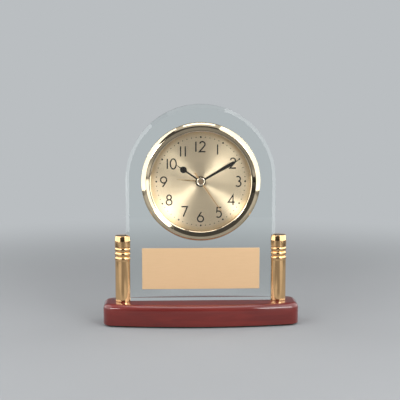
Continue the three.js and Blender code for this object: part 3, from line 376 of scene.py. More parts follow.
def ground_steel(name="ground_steel", colour=tone(184, 187, 190), roughness=0.28):
    paint = Paint(name)
    lines = paint.noise(paint.stretched((300.0, 5000.0, 5000.0)), 1.0, 4.0, 0.7)
    stain = paint.noise(paint.place(), 120.0, 3.0, 0.6)
    return paint.finished(paint.surface(
        Base_Color=paint.mixed(paint.eased(stain, 0.4, 0.75), colour, dimmed(colour, 0.8)), Metallic=1.0,
        Roughness=roughness + 0.12 * lines, Normal=paint.bump(lines, 0.000008, 0.4)))


def wound_copper():
    paint = Paint("wound_copper")
    _, _, up = paint.parts_of(paint.place())
    turns = (up * (2 * math.pi / 0.00018)).wave()
    patches = paint.noise(paint.place(), 500.0, 3.0, 0.6)
    copper = paint.mixed(patches, tone(168, 84, 44), tone(206, 118, 66))
    return paint.finished(paint.surface(
        Base_Color=copper, Metallic=0.85, Roughness=0.3 + 0.15 * patches,
        Normal=paint.bump(turns, 0.00003, 0.7)))


def circuit_laminate():
    paint = Paint("circuit_laminate")
    x, _, z = paint.parts_of(paint.place())
    weave = (x * 9000.0).wave() * (z * 9000.0).wave()
    tracks = paint.eased(abs((x * 900.0 + 1.2 * (z * 700.0).wave()).wave()), 0.9, 0.97)
    green = paint.mixed(paint.eased(weave, -0.4, 0.6), tone(30, 86, 56), tone(42, 106, 70))
    return paint.finished(paint.surface(
        Base_Color=paint.mixed(tracks * 0.6, green, tone(70, 140, 92)), Roughness=0.42 + 0.1 * weave,
        Normal=paint.bump(weave + 2.0 * tracks, 0.00001, 0.5)))


def battery_sleeve():
    """Printed sleeve in plain bands with bare steel at both ends; the cell lies along X."""
    paint = Paint("battery_sleeve")
    x, _, _ = paint.parts_of(paint.place())
    bare = paint.eased(abs(x), 0.0237, 0.0239)
    band = paint.eased(x, 0.0118, 0.0120)
    scuffs = paint.noise(paint.stretched((200.0, 1500.0, 1500.0)), 1.0, 4.0, 0.7)
    sleeve = paint.mixed(band, tone(30, 32, 36), tone(190, 130, 66))
    sleeve = paint.mixed(0.3 * scuffs, sleeve, tone(120, 118, 114))
    return paint.finished(paint.surface(
        Base_Color=paint.mixed(bare, sleeve, tone(186, 188, 190)), Metallic=bare.largest(0.35 * band),
        Roughness=0.28 + 0.14 * scuffs, Normal=paint.bump(scuffs, 0.00001, 0.3)))


ROSEWOOD = lacquered_rosewood()
BRASS = polished_brass("polished_bezel_brass", 0.04, tone(216, 200, 170))
CAP_BRASS = cap_brass()
COLUMN_BRASS = polished_brass("warm_column_brass", 0.07, tone(232, 190, 138))
CAN_BRASS = polished_brass("lacquered_can", 0.2, tone(206, 176, 128))
PLATE_BRASS = satin_plate_brass()
DIAL_GOLD = turned_gold_dial()
HAND_BLACK = black_enamel()
HAND_GOLD = polished_brass("gilt_hands", 0.22, tone(206, 176, 132))
HAND_PALE = polished_brass("pale_gilt", 0.5, tone(196, 156, 108), 0.3)
INK = printed_ink()
GLASS = clear_glass("crystal_glass", ior=1.6)
LENS = clear_glass("lens_glass", tone(252, 253, 252))
FELT = wool_felt()
STEEL = ground_steel()
MAGNET = ground_steel("sintered_magnet", tone(92, 93, 96), 0.5)
COPPER = wound_copper()
BOARD = circuit_laminate()
CELL = battery_sleeve()
BLACK_PLASTIC = moulded_plastic("black_plastic", tone(40, 40, 43))
KNOB_PLASTIC = moulded_plastic("knob_plastic", tone(60, 60, 63), 0.34, 0.15)
WHITE_PLASTIC = moulded_plastic("white_plastic", tone(226, 223, 214), 0.4, 0.2)
RUBBER = moulded_plastic("gasket_rubber", tone(40, 40, 41), 0.75, 0.6)


# ---------------------------------------------------------------- shapes

# the dial's own frame: Z towards the viewer, Y up
FACE = Matrix.Translation((0, 0, CLOCK_Z * MM)) @ Matrix.Rotation(math.pi / 2, 4, "X")


def added(name, data):
    """A new object in the scene."""
    made = bpy.data.objects.new(name, data)
    bpy.context.scene.collection.objects.link(made)
    return made


def to_object(work, name, paint, body="clock_body", replaces=(), place=None, sharp=32.0):
    """Turns a mesh in millimetres into a smooth piece that rides on a body."""
    bmesh.ops.recalc_face_normals(work, faces=work.faces)
    limit = math.radians(sharp)
    for face in work.faces:
        face.smooth = True
    for edge in work.edges:
        edge.smooth = len(edge.link_faces) != 2 or edge.calc_face_angle(0.0) < limit
    work.transform(Matrix.Scale(MM, 4))
    data = bpy.data.meshes.new(name)
    work.to_mesh(data)
    work.free()
    data.materials.append(paint)
    piece = added(name, data)
    if place is not None:
        piece.matrix_world = place
    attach(piece, body)
    if replaces:
        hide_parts(*replaces)
    return piece


def revolve(profile, segments=160, closed=False):
    """Turns points (radius, height) round Z; a closed profile makes a ring, an open one ends on the axis."""
    work = bmesh.new()
    rows = []
    for radius, height in profile:
        if radius < 1e-6:
            rows.append([work.verts.new((0, 0, height))])
            continue
        turn = 2 * math.pi / segments
        rows.append([work.verts.new((radius * math.cos(i * turn), radius * math.sin(i * turn), height))
                     for i in range(segments)])
    pairs = list(zip(rows, rows[1:]))
    if closed:
        pairs.append((rows[-1], rows[0]))
    for lower, upper in pairs:
        for i in range(segments):
            after = (i + 1) % segments
            corners = [lower[i % len(lower)], lower[after % len(lower)], upper[after % len(upper)],
                       upper[i % len(upper)]]
            distinct = list(dict.fromkeys(corners))
            if len(distinct) > 2:
                work.faces.new(distinct)
    return work


def loft(rings, closed=False):
    """Skins rings of the same number of points, with end caps or closed on itself."""
    work = bmesh.new()
    rows = [[work.verts.new(point) for point in ring] for ring in rings]
    pairs = list(zip(rows, rows[1:]))
    if closed:
        pairs.append((rows[-1], rows[0]))
    for lower, upper in pairs:
        for i in range(len(lower)):
            after = (i + 1) % len(lower)
            work.faces.new((lower[i], lower[after], upper[after], upper[i]))
    if not closed:
        work.faces.new(rows[0])
        work.faces.new(rows[-1])
    return work


def box_mesh(low, high):
    work = bmesh.new()
    bmesh.ops.create_cube(work, size=1.0)
    size = [b - a for a, b in zip(low, high)]
    centre = [(a + b) / 2 for a, b in zip(low, high)]
    work.transform(Matrix.Translation(centre) @ Matrix.Diagonal((*size, 1.0)))
    return work


def cut(piece, cutters, place=None):
    """Takes the cutter meshes, in millimetres, out of a piece."""
    for cutter in cutters:
        cutter.transform(Matrix.Scale(MM, 4))
        bmesh.ops.recalc_face_normals(cutter, faces=cutter.faces)
        data = bpy.data.meshes.new("cutter")
        cutter.to_mesh(data)
        cutter.free()
        tool = added("cutter", data)
        tool.matrix_world = place or Matrix.Identity(4)
        step = piece.modifiers.new("cut", "BOOLEAN")
        step.operation = "DIFFERENCE"
        step.solver = "EXACT"
        step.object = tool
        apply_modifiers(piece)
        bpy.data.objects.remove(tool)


def apply_modifiers(piece):
    bpy.context.view_layer.update()
    made = bpy.data.meshes.new_from_object(piece.evaluated_get(bpy.context.evaluated_depsgraph_get()))
    piece.modifiers.clear()
    piece.data = made


def soften(piece, width, segments):
    """Rounds the sharp edges of a piece by a width in millimetres."""
    step = piece.modifiers.new("rounded_edges", "BEVEL")
    step.width = width * MM
    step.segments = segments
    step.limit_method = "ANGLE"
    step.angle_limit = math.radians(SOFTEN_ANGLE)
    step.harden_normals = False
    apply_modifiers(piece)
    return piece


def arc(centre, across, up, start, end, steps):
    """Points on an ellipse from one angle to another, in degrees anticlockwise from the right."""
    points = []
    for i in range(steps + 1):
        a = math.radians(start + (end - start) * i / steps)
        points.append((centre[0] + across * math.cos(a), centre[1] + up * math.sin(a)))
    return points


def bezier(start, first, second, end, steps):
    """Points on a cubic curve between two points with two handles."""
    points = []
    for i in range(steps + 1):
        t = i / steps
        shares = ((1 - t) ** 3, 3 * t * (1 - t) ** 2, 3 * t * t * (1 - t), t ** 3)
        corners = (start, first, second, end)
        points.append(tuple(
            sum(share * corner[k] for share, corner in zip(shares, corners)) for k in (0, 1)))
    return points


def y_to_face(profile):
    """Profile of (radius, y) in the frame to (radius, height towards the viewer) in the dial's frame."""
    return [(radius, -y) for radius, y in profile]


# ---------------------------------------------------------------- plinth and columns

def plinth_outline(inset):
    """Outline of the plinth: bowed front and back, straight ends and round corners."""
    arc_r = (BASE_HALF ** 2 + BASE_BOW ** 2) / (2 * BASE_BOW)
    arc_y = arc_r - BASE_HALF_DEPTH
    corner_x = BASE_HALF - BASE_CORNER_R
    corner_y = arc_y - math.sqrt((arc_r - BASE_CORNER_R) ** 2 - corner_x ** 2)
    sweep = math.atan2(corner_x, arc_y - corner_y)
    quarter = []
    for i in range(25):
        a = sweep * i / 24
        quarter.append(((arc_r - inset) * math.sin(a), arc_y - (arc_r - inset) * math.cos(a)))
    for i in range(1, 13):
        a = sweep + (math.pi / 2 - sweep) * i / 12
        r = BASE_CORNER_R - inset
        quarter.append((corner_x + r * math.sin(a), corner_y - r * math.cos(a)))
    right = quarter + [(x, -y) for x, y in reversed(quarter)]
    left = [(-x, y) for x, y in reversed(right[1:-1])]
    return right + left


def plinth_ring(inset, z):
    return [(x, y, z) for x, y in plinth_outline(inset)]


def rounded_rings(radius, edge_z, steps, towards):
    """Rings of a quarter round edge that ends at edge_z; towards is +1 where the edge faces up."""
    rings = []
    for i in range(steps + 1):
        a = math.pi / 2 * i / steps
        rings.append(plinth_ring(radius * (1 - math.cos(a)), edge_z - towards * radius * (1 - math.sin(a))))
    return rings


def build_plinth():
    rings = list(reversed(rounded_rings(BASE_BOTTOM_R, BASE_LOW, 3, -1)))
    rings += rounded_rings(BASE_TOP_R, BASE_TOP, 9, 1)
    plinth = to_object(loft(rings), "plinth_wood", ROSEWOOD, replaces=["base_plinth"], sharp=25.0)
    return plinth


def column_profile():
    """Turned profile from the foot to the cap, as (radius, height over the plinth)."""
    height = COLUMN_TOP - BASE_TOP
    bead_top = height - CAP_HEIGHT
    shaft_top = bead_top - BEADS * BEAD_PITCH
    profile = [(0.0, 0.1), (SHAFT_R - 0.25, 0.1), (SHAFT_R, 0.35), (SHAFT_R, 0.5), (SHAFT_R, shaft_top)]
    steps = 12
    for bead in range(BEADS, 0, -1):
        for i in range(steps):
            share = i / steps
            dip = BEAD_GROOVE * (1 - math.sin(math.pi * share)) ** 2
            if bead == BEADS and share < 0.5:
                dip = min(dip, COLUMN_R - SHAFT_R - 0.02)
            profile.append((COLUMN_R - dip, bead_top - (bead - share) * BEAD_PITCH))
    profile += [(COLUMN_R - BEAD_GROOVE, bead_top), (COLUMN_R - 0.12, bead_top + BEAD_GROOVE / 4),
                (COLUMN_R, bead_top + BEAD_GROOVE / 2), (COLUMN_R, bead_top + BEAD_GROOVE)]
    taper_low = height - CAP_TAPER_HEIGHT
    profile += [(COLUMN_R, taper_low - 0.15), (COLUMN_R - 0.01, taper_low + 0.15)]
    top_r = COLUMN_R - CAP_TAPER
    profile.append((top_r + 0.01, height - CAP_EDGE_R - 0.1))
    for radius, up in arc((top_r - CAP_EDGE_R, height - CAP_EDGE_R), CAP_EDGE_R, CAP_EDGE_R, 0, 90, 4):
        profile.append((radius, up))
    return profile + [(0.0, height)]


def build_column(side):
    name = "left" if side < 0 else "right"
    turned = revolve(column_profile(), 96)
    turned.transform(Matrix.Translation((side * COLUMN_X, 0, BASE_TOP)))
    column = to_object(turned, f"turned_column_{name}", COLUMN_BRASS, replaces=[f"column_{name}"])
    inner = side * (GLASS_HALF + FIT)
    mouth = side * (COLUMN_X - COLUMN_R - 1)
    half = GLASS_BACK + FIT
    low, high = sorted((inner, mouth))
    cut(column, [box_mesh((low, -half, BASE_TOP - 1), (high, half, COLUMN_TOP + 1))])


# ---------------------------------------------------------------- glass and plate

def arch_outline(inset):
    """Outline of the glass plate as (x, z): a foot edge, two straight sides and a round top."""
    r = GLASS_HALF - inset
    centre = GLASS_TOP - GLASS_HALF
    low = GLASS_LOW + inset
    points = [(-r + 2 * r * i / 24, low) for i in range(24)]
    points += [(r, low + (centre - low) * i / 16) for i in range(16)]
    points += [(r * math.cos(math.pi * i / 96), centre + r * math.sin(math.pi * i / 96))
               for i in range(96)]
    points += [(-r, centre - (centre - low) * i / 16) for i in range(16)]
    return points


def hole_outline(radius):
    """A circle round the clock, with a point in the direction of each point of the arch."""
    points = []
    for x, z in arch_outline(GLASS_BEVEL):
        away = math.hypot(x, z - CLOCK_Z)
        points.append((radius * x / away, CLOCK_Z + radius * (z - CLOCK_Z) / away))
    return points


def build_glass():
    def at(outline, y):
        return [(x, y, z) for x, z in outline]
    rings = [
        at(hole_outline(GLASS_HOLE_R), GLASS_FRONT), at(arch_outline(GLASS_BEVEL), GLASS_FRONT),
        at(arch_outline(0.0), GLASS_FRONT + GLASS_BEVEL_DEPTH),
        at(arch_outline(0.0), GLASS_BACK - GLASS_ARRIS),
        at(arch_outline(GLASS_ARRIS), GLASS_BACK), at(hole_outline(GLASS_HOLE_R), GLASS_BACK),
    ]
    glass = to_object(
        loft(rings, closed=True), "bevelled_glass", GLASS, replaces=["glass_plate"], sharp=12.0)


def build_engraving_plate():
    low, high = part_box("engraving_plate")
    work = box_mesh([a / MM for a in low], [b / MM for b in high])
    plate = to_object(work, "blank_plate", PLATE_BRASS, replaces=["engraving_plate"])
    soften(plate, PLATE_EDGE, 3)


# ---------------------------------------------------------------- clock insert

def build_bezel():
    rim_front = BEZEL_BACK - BEZEL_RIM
    lens_r = LENS_R + FIT
    flange_r = CUP_FLANGE_R + FIT
    crest_out = (BEZEL_CREST_R + 0.15, BEZEL_FRONT + 0.04)
    crest_in = (BEZEL_CREST_R - 0.2, BEZEL_FRONT + 0.04)
    slope_foot = (BEZEL_SLOPE_FOOT_R, BEZEL_FRONT + BEZEL_SLOPE_DROP)
    lip = (BEZEL_INNER_R, LENS_FRONT - SEAT)
    profile = [(BEZEL_R, BEZEL_BACK)]
    profile += bezier((BEZEL_R, rim_front), (BEZEL_R, rim_front - 1.6),
                      (crest_out[0] + 1.5, crest_out[1] + 0.62), crest_out, 24)
    profile += bezier(crest_out, (crest_out[0] - 0.1, BEZEL_FRONT), (crest_in[0] + 0.1, BEZEL_FRONT),
                      crest_in, 8)[1:]
    profile += bezier(crest_in, crest_in, slope_foot, slope_foot, 12)[1:-1]
    profile += bezier(slope_foot, (slope_foot[0] - 0.25, slope_foot[1] + 0.08),
                      (lip[0] + 0.75, lip[1] - 0.75), lip, 12)
    profile += [(lens_r, LENS_FRONT - SEAT), (lens_r, CUP_FRONT - FIT), (flange_r, CUP_FRONT - FIT),
                (flange_r, BEZEL_BACK)]
    bezel = to_object(revolve(y_to_face(profile), 256, closed=True), "bezel_ring", BRASS, replaces=["bezel"],
                      place=FACE)


def build_lens():
    inner = LENS_R - LENS_EDGE
    profile = [(0.0, LENS_BACK), (inner, LENS_BACK), (LENS_R, LENS_BACK - LENS_EDGE),
               (LENS_R, LENS_FRONT + LENS_EDGE), (inner, LENS_FRONT), (0.0, LENS_FRONT)]
    lens = to_object(revolve(y_to_face(profile), 160), "dial_lens", LENS, replaces=["lens"], place=FACE)


def build_can():
    inner = CUP_R - CUP_WALL
    flange_back = GLASS_FRONT - SEAT
    profile = [(inner, CUP_FRONT), (CUP_FLANGE_R, CUP_FRONT), (CUP_FLANGE_R, flange_back),
               (CUP_R, flange_back), (CUP_R, CUP_BACK - CUP_EDGE), (CUP_R - CUP_EDGE, CUP_BACK),
               (inner, CUP_BACK)]
    can = to_object(revolve(y_to_face(profile), 160, closed=True), "insert_can", CAN_BRASS,
                    replaces=["case_cup"], place=FACE)
    low, high = span("hole_gasket", DEEP)
    inner, outer = CUP_R + SEAT, GLASS_HOLE_R - SEAT
    profile = [(inner, low), (outer, low), (outer, high), (inner, high)]
    seal = to_object(revolve(y_to_face(profile), 160, closed=True), "hole_seal", RUBBER,
                     replaces=["hole_gasket"], place=FACE)


def build_reflector():
    outer = CUP_R - CUP_WALL - FIT
    inner = outer - REFLECTOR_WALL
    profile = [(inner + 0.15, RING_FRONT), (outer, RING_FRONT), (outer, RING_BACK), (inner, RING_BACK)]
    ring = to_object(revolve(y_to_face(profile), 192, closed=True), "reflector_band", CAN_BRASS,
                     replaces=["reflector_ring"], place=FACE)


# ---------------------------------------------------------------- dial print

FIGURE_HEIGHT = 9.6
FIGURE_STROKE = 1.1
HOUR_DOTS_R = 37.6
HOUR_DOT = 0.75
MINUTE_DOT = 0.4
DOT_SIDES = 16
PRINT_THICK = 0.03
FIGURE_PLACES = [  # figure and the place of its middle on the dial
    ("1", 14.2, 27.1), ("2", 27.1, 15.5), ("3", 31.8, -0.1), ("4", 26.0, -16.1), ("5", 15.3, -26.5),
    ("6", -0.2, -30.3), ("7", -13.8, -25.7), ("8", -26.8, -15.7), ("9", -31.4, -0.3),
    ("1", -28.2, 15.0), ("0", -23.2, 15.0), ("1", -17.0, 25.5), ("1", -13.0, 25.5),
    ("1", -4.1, 29.5), ("2", 1.35, 29.5),
]


def hooked_six():
    stem = [(0.1, 0.5), (-0.02, 0.33), (-0.15, 0.12), (-0.25, -0.04)]
    return [stem + arc((0.0, -0.2), 0.3, 0.3, 155, 515, 28)]


FIGURES = {
    "0": [arc((0.0, 0.0), 0.29, 0.5, 90, 450, 32)],
    "1": [[(0.0, -0.5), (0.0, 0.5)]],
    "2": [arc((0.0, 0.23), 0.26, 0.27, 165, -32, 14) + [(-0.29, -0.5), (0.3, -0.5)]],
    "3": [arc((-0.02, 0.26), 0.22, 0.24, 135, -88, 14), arc((-0.02, -0.24), 0.28, 0.26, 88, -140, 16)],
    "4": [[(0.16, -0.5), (0.16, 0.5), (-0.31, -0.2), (0.32, -0.2)]],
    "5": [[(0.25, 0.5), (-0.16, 0.5), (-0.2, 0.07)] + arc((-0.03, -0.18), 0.29, 0.32, 120, -132, 16)],
    "6": hooked_six(),
    "7": [[(-0.3, 0.5), (0.29, 0.5), (-0.12, -0.5)]],
    "8": [arc((0.0, 0.26), 0.22, 0.24, -90, 270, 24), arc((0.0, -0.24), 0.28, 0.26, 90, 450, 28)],
    "9": [[(-x, -y) for x, y in stroke] for stroke in hooked_six()],
}


def ribbon(work, points, half):
    """A flat stroke of constant width along a line of points, with mitred turns."""
    closed = math.dist(points[0], points[-1]) < 1e-6
    if closed:
        points = points[:-1]
    count = len(points)
    sides = []
    for i, (x, y) in enumerate(points):
        before = points[i - 1] if i or closed else None
        after = points[(i + 1) % count] if i + 1 < count or closed else None
        ways = []
        for a, b in ((before, (x, y)), ((x, y), after)):
            if a is not None and b is not None:
                ways.append(Vector((b[0] - a[0], b[1] - a[1])).normalized())
        way = sum(ways, Vector((0.0, 0.0))).normalized()
        across = Vector((-way.y, way.x))
        reach = half / max(0.35, math.sqrt((1 + ways[0].dot(ways[-1])) / 2))
        sides.append([work.verts.new((x + sign * reach * across.x, y + sign * reach * across.y, 0.0))
                      for sign in (-1, 1)])
    for i in range(count if closed else count - 1):
        a, b = sides[i], sides[(i + 1) % count]
        work.faces.new((a[0], b[0], b[1], a[1]))


def dot(work, x, y, radius):
    turns = [2 * math.pi * i / DOT_SIDES for i in range(DOT_SIDES)]
    work.faces.new([work.verts.new((x + radius * math.cos(a), y + radius * math.sin(a), 0.0)) for a in turns])


def build_dial():
    profile = [(DIAL_HOLE_R, DIAL_BACK), (DIAL_R, DIAL_BACK), (DIAL_R, DIAL_FRONT),
               (DIAL_R * 0.5, DIAL_FRONT), (DIAL_HOLE_R, DIAL_FRONT)]
    dial = to_object(revolve(y_to_face(profile), 192, closed=True), "brushed_dial", DIAL_GOLD,
                     replaces=["dial"], place=FACE)
    work = bmesh.new()
    tall = FIGURE_HEIGHT - FIGURE_STROKE
    for figure, x, y in FIGURE_PLACES:
        for stroke in FIGURES[figure]:
            ribbon(work, [(x + tall * u, y + tall * v) for u, v in stroke], FIGURE_STROKE / 2)
    for minute in range(60):
        a = math.radians(minute * 6)
        radius = HOUR_DOT if minute % 5 == 0 else MINUTE_DOT
        dot(work, HOUR_DOTS_R * math.sin(a), HOUR_DOTS_R * math.cos(a), radius)
    print_place = FACE @ Matrix.Translation((0, 0, (PRINT_THICK - DIAL_FRONT) * MM))
    marks = to_object(work, "dial_print", INK, place=print_place)
    thick = marks.modifiers.new("ink", "SOLIDIFY")
    thick.thickness = PRINT_THICK * MM * 0.9
    apply_modifiers(marks)


# ---------------------------------------------------------------- hands

def flat_piece(outline, hole_r, back, front, name, paint, body, replaces, turn):
    """A thin plate between two heights, cut from an outline round the clock axis with a hole in its hub."""
    work = bmesh.new()
    lower = [work.verts.new((x, y, back)) for x, y in outline]
    face = work.faces.new(lower)
    grown = bmesh.ops.extrude_face_region(work, geom=[face])
    moved = [v for v in grown["geom"] if isinstance(v, bmesh.types.BMVert)]
    bmesh.ops.translate(work, verts=moved, vec=(0, 0, front - back))
    place = FACE @ Matrix.Rotation(-math.radians(turn), 4, "Z")
    piece = to_object(work, name, paint, body, replaces, place)
    profile = [(0.0, back - 1), (hole_r, back - 1), (hole_r, front + 1), (0.0, front + 1)]
    cut(piece, [revolve(profile, 48)], place)
    return soften(piece, HAND_EDGE, 2)


def with_hub(half_outline, hub_r, tail=None):
    """Outline of a hand from its right half, above a round hub; the tail is a right half below it."""
    stem = half_outline[0][0]
    meet = math.degrees(math.acos(stem / hub_r))
    right = half_outline[1:]
    left = [(-x, y) for x, y in reversed(right)]
    if tail:
        low = math.degrees(math.acos(tail[0][0] / hub_r))
        below = tail[1:]
        side = arc((0, 0), hub_r, hub_r, 180 - meet, 180 + low, 18)
        return right + left + side + [(-x, y) for x, y in below] + list(reversed(below)) + arc(
            (0, 0), hub_r, hub_r, -low, meet, 18)
    return right + left + arc((0, 0), hub_r, hub_r, 180 - meet, 360 + meet, 48)


def hand_levels(node):
    """Back and front of a hand, as heights towards the viewer."""
    front, back = span(node, DEEP)
    return -back, -front


def build_hands():
    bulb_z, bulb_r, stem = 17.8, 2.8, 0.65
    hour = [(stem, 0.0)] + arc((0, bulb_z), bulb_r, bulb_r, -76, 69, 20)
    hour += [(0.45, bulb_z + 3.1), (0.1, 24.98)]
    minute = [(0.8, 0.0), (1.08, 18.0), (1.26, 25.0), (1.4, 31.4), (1.2, 32.2), (0.6, 33.0),
              (0.35, 34.2), (0.1, 37.58)]
    alarm = [(0.7, 0.0), (0.6, 12.0), (0.1, 20.18)]
    second = [(0.55, 0.0), (0.25, 30.98)]
    second_tail = [(0.55, 0.0), (0.6, -8.98)]
    for name, half, tail, hub_r, hole_r, paint, body, slot in (
        ("hour", hour, None, 4.3, 2.4, HAND_BLACK, "hours", "black_metal"),
        ("minute", minute, None, 4.4, 1.6, HAND_BLACK, "minutes", "black_metal"),
        ("alarm", alarm, None, 4.6, 3.3, HAND_GOLD, "alarm_time", "satin_brass"),
        ("second", second, second_tail, 2.6, 0.7, HAND_PALE, "seconds", "satin_brass"),
    ):
        back, front = hand_levels(f"{name}_hand")
        outline = with_hub(half, hub_r, tail)
        piece = flat_piece(outline, hole_r, back, front, f"{name}_pointer", paint, body, [f"{name}_hand"],
                           HANDS_SHOW[name])


def build_cap():
    front, back = (-y for y in span("centre_cap", DEEP))
    r, disc_r, bead = 3.6, 2.4, 0.45
    profile = [(0.0, back), (r - 0.1, back), (r, back + 0.1)]
    profile += arc(((r + disc_r) / 2, front - bead), (r - disc_r) / 2, bead, 0, 180, 14)
    profile += [(disc_r - 0.1, front - bead), (1.2, front - bead + 0.08), (0.0, front - bead + 0.1)]
    cap = to_object(revolve(profile, 96), "hand_cap", CAP_BRASS, "seconds", ["centre_cap"], FACE)


# ---------------------------------------------------------------- back of the insert

def build_back_cover():
    """Moulded cover turned from a profile, with the openings that the frame's cover has."""
    plug_r = CUP_R - CUP_WALL - FIT
    flange = COVER_BACK - COVER_FLANGE
    profile = [(0.0, COVER_FRONT), (plug_r, COVER_FRONT), (plug_r, flange), (CUP_R, flange),
               (CUP_R, COVER_BACK - 0.3), (CUP_R - 0.1, COVER_BACK - 0.1), (CUP_R - 0.3, COVER_BACK),
               (0.0, COVER_BACK)]
    cover = to_object(revolve(y_to_face(profile), 128), "rear_cover", BLACK_PLASTIC, replaces=["back_cover"],
                      place=FACE)

    def drilled(x, z, radius):
        shaft = [(0.0, -30.0), (radius, -30.0), (radius, -10.0), (0.0, -10.0)]
        hole = revolve(shaft, 32)
        hole.transform(Matrix.Translation((x, z - CLOCK_Z, 0)))
        return hole

    cutters = [drilled(middle(node, ACROSS), middle(node, UP), KNOB_HOLE_R)
               for node in ("time_set_knob", "alarm_set_knob")]
    cutters += [drilled(x, SOUND_HOLE_Z, SOUND_HOLE_R) for x in SOUND_HOLE_X]
    cut(cover, cutters, FACE)
    door_low, door_high = (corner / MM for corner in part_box("battery_door"))
    x1, z0, z1 = door_high.x + FIT, door_low.z - FIT, door_high.z + FIT
    recess = box_mesh((-x1, door_low.y - SEAT, z0), (x1, COVER_BACK + 1, z1))
    opening = box_mesh((-x1 + DOOR_LEDGE, COVER_FRONT - 1, z0 + DOOR_LEDGE),
                       (x1 - DOOR_LEDGE, COVER_BACK, z1 - DOOR_LEDGE))
    switch_low, switch_high = (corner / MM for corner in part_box("alarm_switch"))
    pocket = box_mesh((switch_low.x - FIT, COVER_FRONT - 1, switch_low.z - FIT),
                      (switch_high.x + SWITCH_TRAVEL + FIT, COVER_FRONT + SWITCH_POCKET, switch_high.z + FIT))
    slot_x = middle("alarm_switch", ACROSS)
    slot_z = middle("alarm_switch", UP)
    slit = box_mesh((slot_x - SWITCH_TAB, COVER_FRONT, slot_z - SWITCH_TAB),
                    (slot_x + SWITCH_TRAVEL + SWITCH_TAB, COVER_BACK + 1, slot_z + SWITCH_TAB))
    cut(cover, [recess, opening, pocket, slit])


def build_knob(node, body):
    """Ribbed knob with a dished top."""
    radius = span(node, ACROSS)[1] - middle(node, ACROSS)
    ribs, per_rib, depth, dish_r, dish = 24, 6, 0.35, 0.62, 0.4
    low, high = (-y for y in reversed(span(node, DEEP)))
    count = ribs * per_rib

    def ring(r, height, ribbed=0.0):
        points = []
        for i in range(count):
            a = 2 * math.pi * i / count
            grooved = r - ribbed * depth * (0.5 - 0.5 * math.cos(ribs * a)) ** 2
            points.append((grooved * math.cos(a), grooved * math.sin(a), height))
        return points

    rings = [ring(radius - 0.5, high), ring(radius - 0.15, high), ring(radius, high - 0.2, 1.0),
             ring(radius, low + 0.35, 1.0), ring(radius - 0.12, low + 0.12, 0.8),
             ring(radius - 0.4, low, 0.3),
             ring(radius * dish_r + 0.3, low), ring(radius * dish_r, low + dish * 0.4),
             ring(radius * dish_r - 0.4, low + dish), ring(0.4, low + dish * 0.8)]
    place = FACE @ Matrix.Translation((middle(node, ACROSS) * MM, (middle(node, UP) - CLOCK_Z) * MM, 0))
    name = node.replace("set_knob", "setting_wheel")
    knob = to_object(loft(rings), name, KNOB_PLASTIC, body, [node], place)


# ---------------------------------------------------------------- finishes of the frame's own nodes

def finish_nodes():
    paints = {
        "felt_pad": FELT, "column_screw_left": STEEL, "column_screw_right": STEEL, "coil_core": STEEL,
        "stator": STEEL, "quartz_crystal": STEEL, "battery_contact_plus": STEEL,
        "battery_contact_minus": STEEL, "rotor": MAGNET, "drive_coil": COPPER,
        "circuit_board": BOARD, "battery": CELL, "buzzer": CAN_BRASS,
        "movement_case": BLACK_PLASTIC, "battery_door": BLACK_PLASTIC, "alarm_switch": WHITE_PLASTIC,
    }
    for name, piece in nodes.items():
        if not piece.hide_render:
            piece.data.materials.clear()
            piece.data.materials.append(paints.get(name, WHITE_PLASTIC))


# ---------------------------------------------------------------- studio

FLOOR_TONE = tone(138, 140, 142)
FRONT_TONE = tone(112, 112, 113)
SIDE_TONE = tone(160, 161, 162)
ROOM_TONE = tone(186, 190, 193)
ROOM_HIGH = tone(112, 114, 116)
ROOM_FRONT = tone(84, 85, 88)
WALL_LIGHT = 2.2
RIGHT_KEY = 8.5
LEFT_KEY = 13.0
OVERHEAD_LIGHT = 2.4
LID_LIGHT = 0.65
WALL_AWAY = 0.35
WALL_SPLIT = -0.17  # depth at which each side wall is parted
KEY_AIM = (0.0, 0.0, 0.12)
CLOTH_PLACE = (0, -1.08, 0.0005)
CLOTH_HALF = 0.5
TABLE_HALF = 20.0
TARGET = Vector((-0.0006, 0.0, 0.106))
CAMERA_AZIMUTH = -2.2
CAMERA_PITCH = 8.0
CAMERA_AWAY = 1.0
LENS_MM = 106.1
SENSOR_MM = 36.0


def seen_as_room(paint):
    """1 for the rays that show the pale backdrop, straight to the lens or through glass."""
    camera = paint.node("ShaderNodeLightPath", out="Is Camera Ray")
    through = paint.node("ShaderNodeLightPath", out="Is Transmission Ray")
    return camera.largest(through)


def floor_paint():
    """Pale table that runs out into the pale room; a gloss sees it darker in front and lighter beside."""
    paint = Paint("pale_table")
    x, y, _ = paint.parts_of(paint.place())
    away = (x * x + y * y) ** 0.5
    mottle = paint.noise(paint.place(), 30.0, 3.0, 0.5)
    glossy = paint.node("ShaderNodeLightPath", out="Is Glossy Ray")
    gloss_front = glossy * paint.eased(-1.0 * y, 0.07, 0.11)
    fan = paint.eased(-1.0 * y, 0.09, 0.13) * (1.0 - paint.eased(abs(x) + 0.3 * y, 0.07, 0.12))
    centre_strip = (1.0 - paint.eased(abs(x), 0.02, 0.05)) * paint.eased(y, -0.2, -0.14)
    gloss_tone = paint.mixed(fan * (1.0 - centre_strip), SIDE_TONE, FRONT_TONE)
    plain = paint.mixed(0.15 * mottle, FLOOR_TONE, tone(146, 147, 148))
    table = paint.surface(
        Base_Color=paint.mixed(gloss_front, plain, gloss_tone), Roughness=0.8, Specular_IOR_Level=0.2)
    gloss_behind = glossy * paint.eased(y, 0.1, 0.3)
    room = paint.node("ShaderNodeEmission", inputs={"Color": ROOM_TONE, "Strength": 1.0})
    far = paint.eased(away, 0.16, 0.6)
    shown = far * seen_as_room(paint).largest(gloss_behind)
    return paint.finished(paint.node("ShaderNodeMixShader", inputs={0: shown, 1: table, 2: room}))


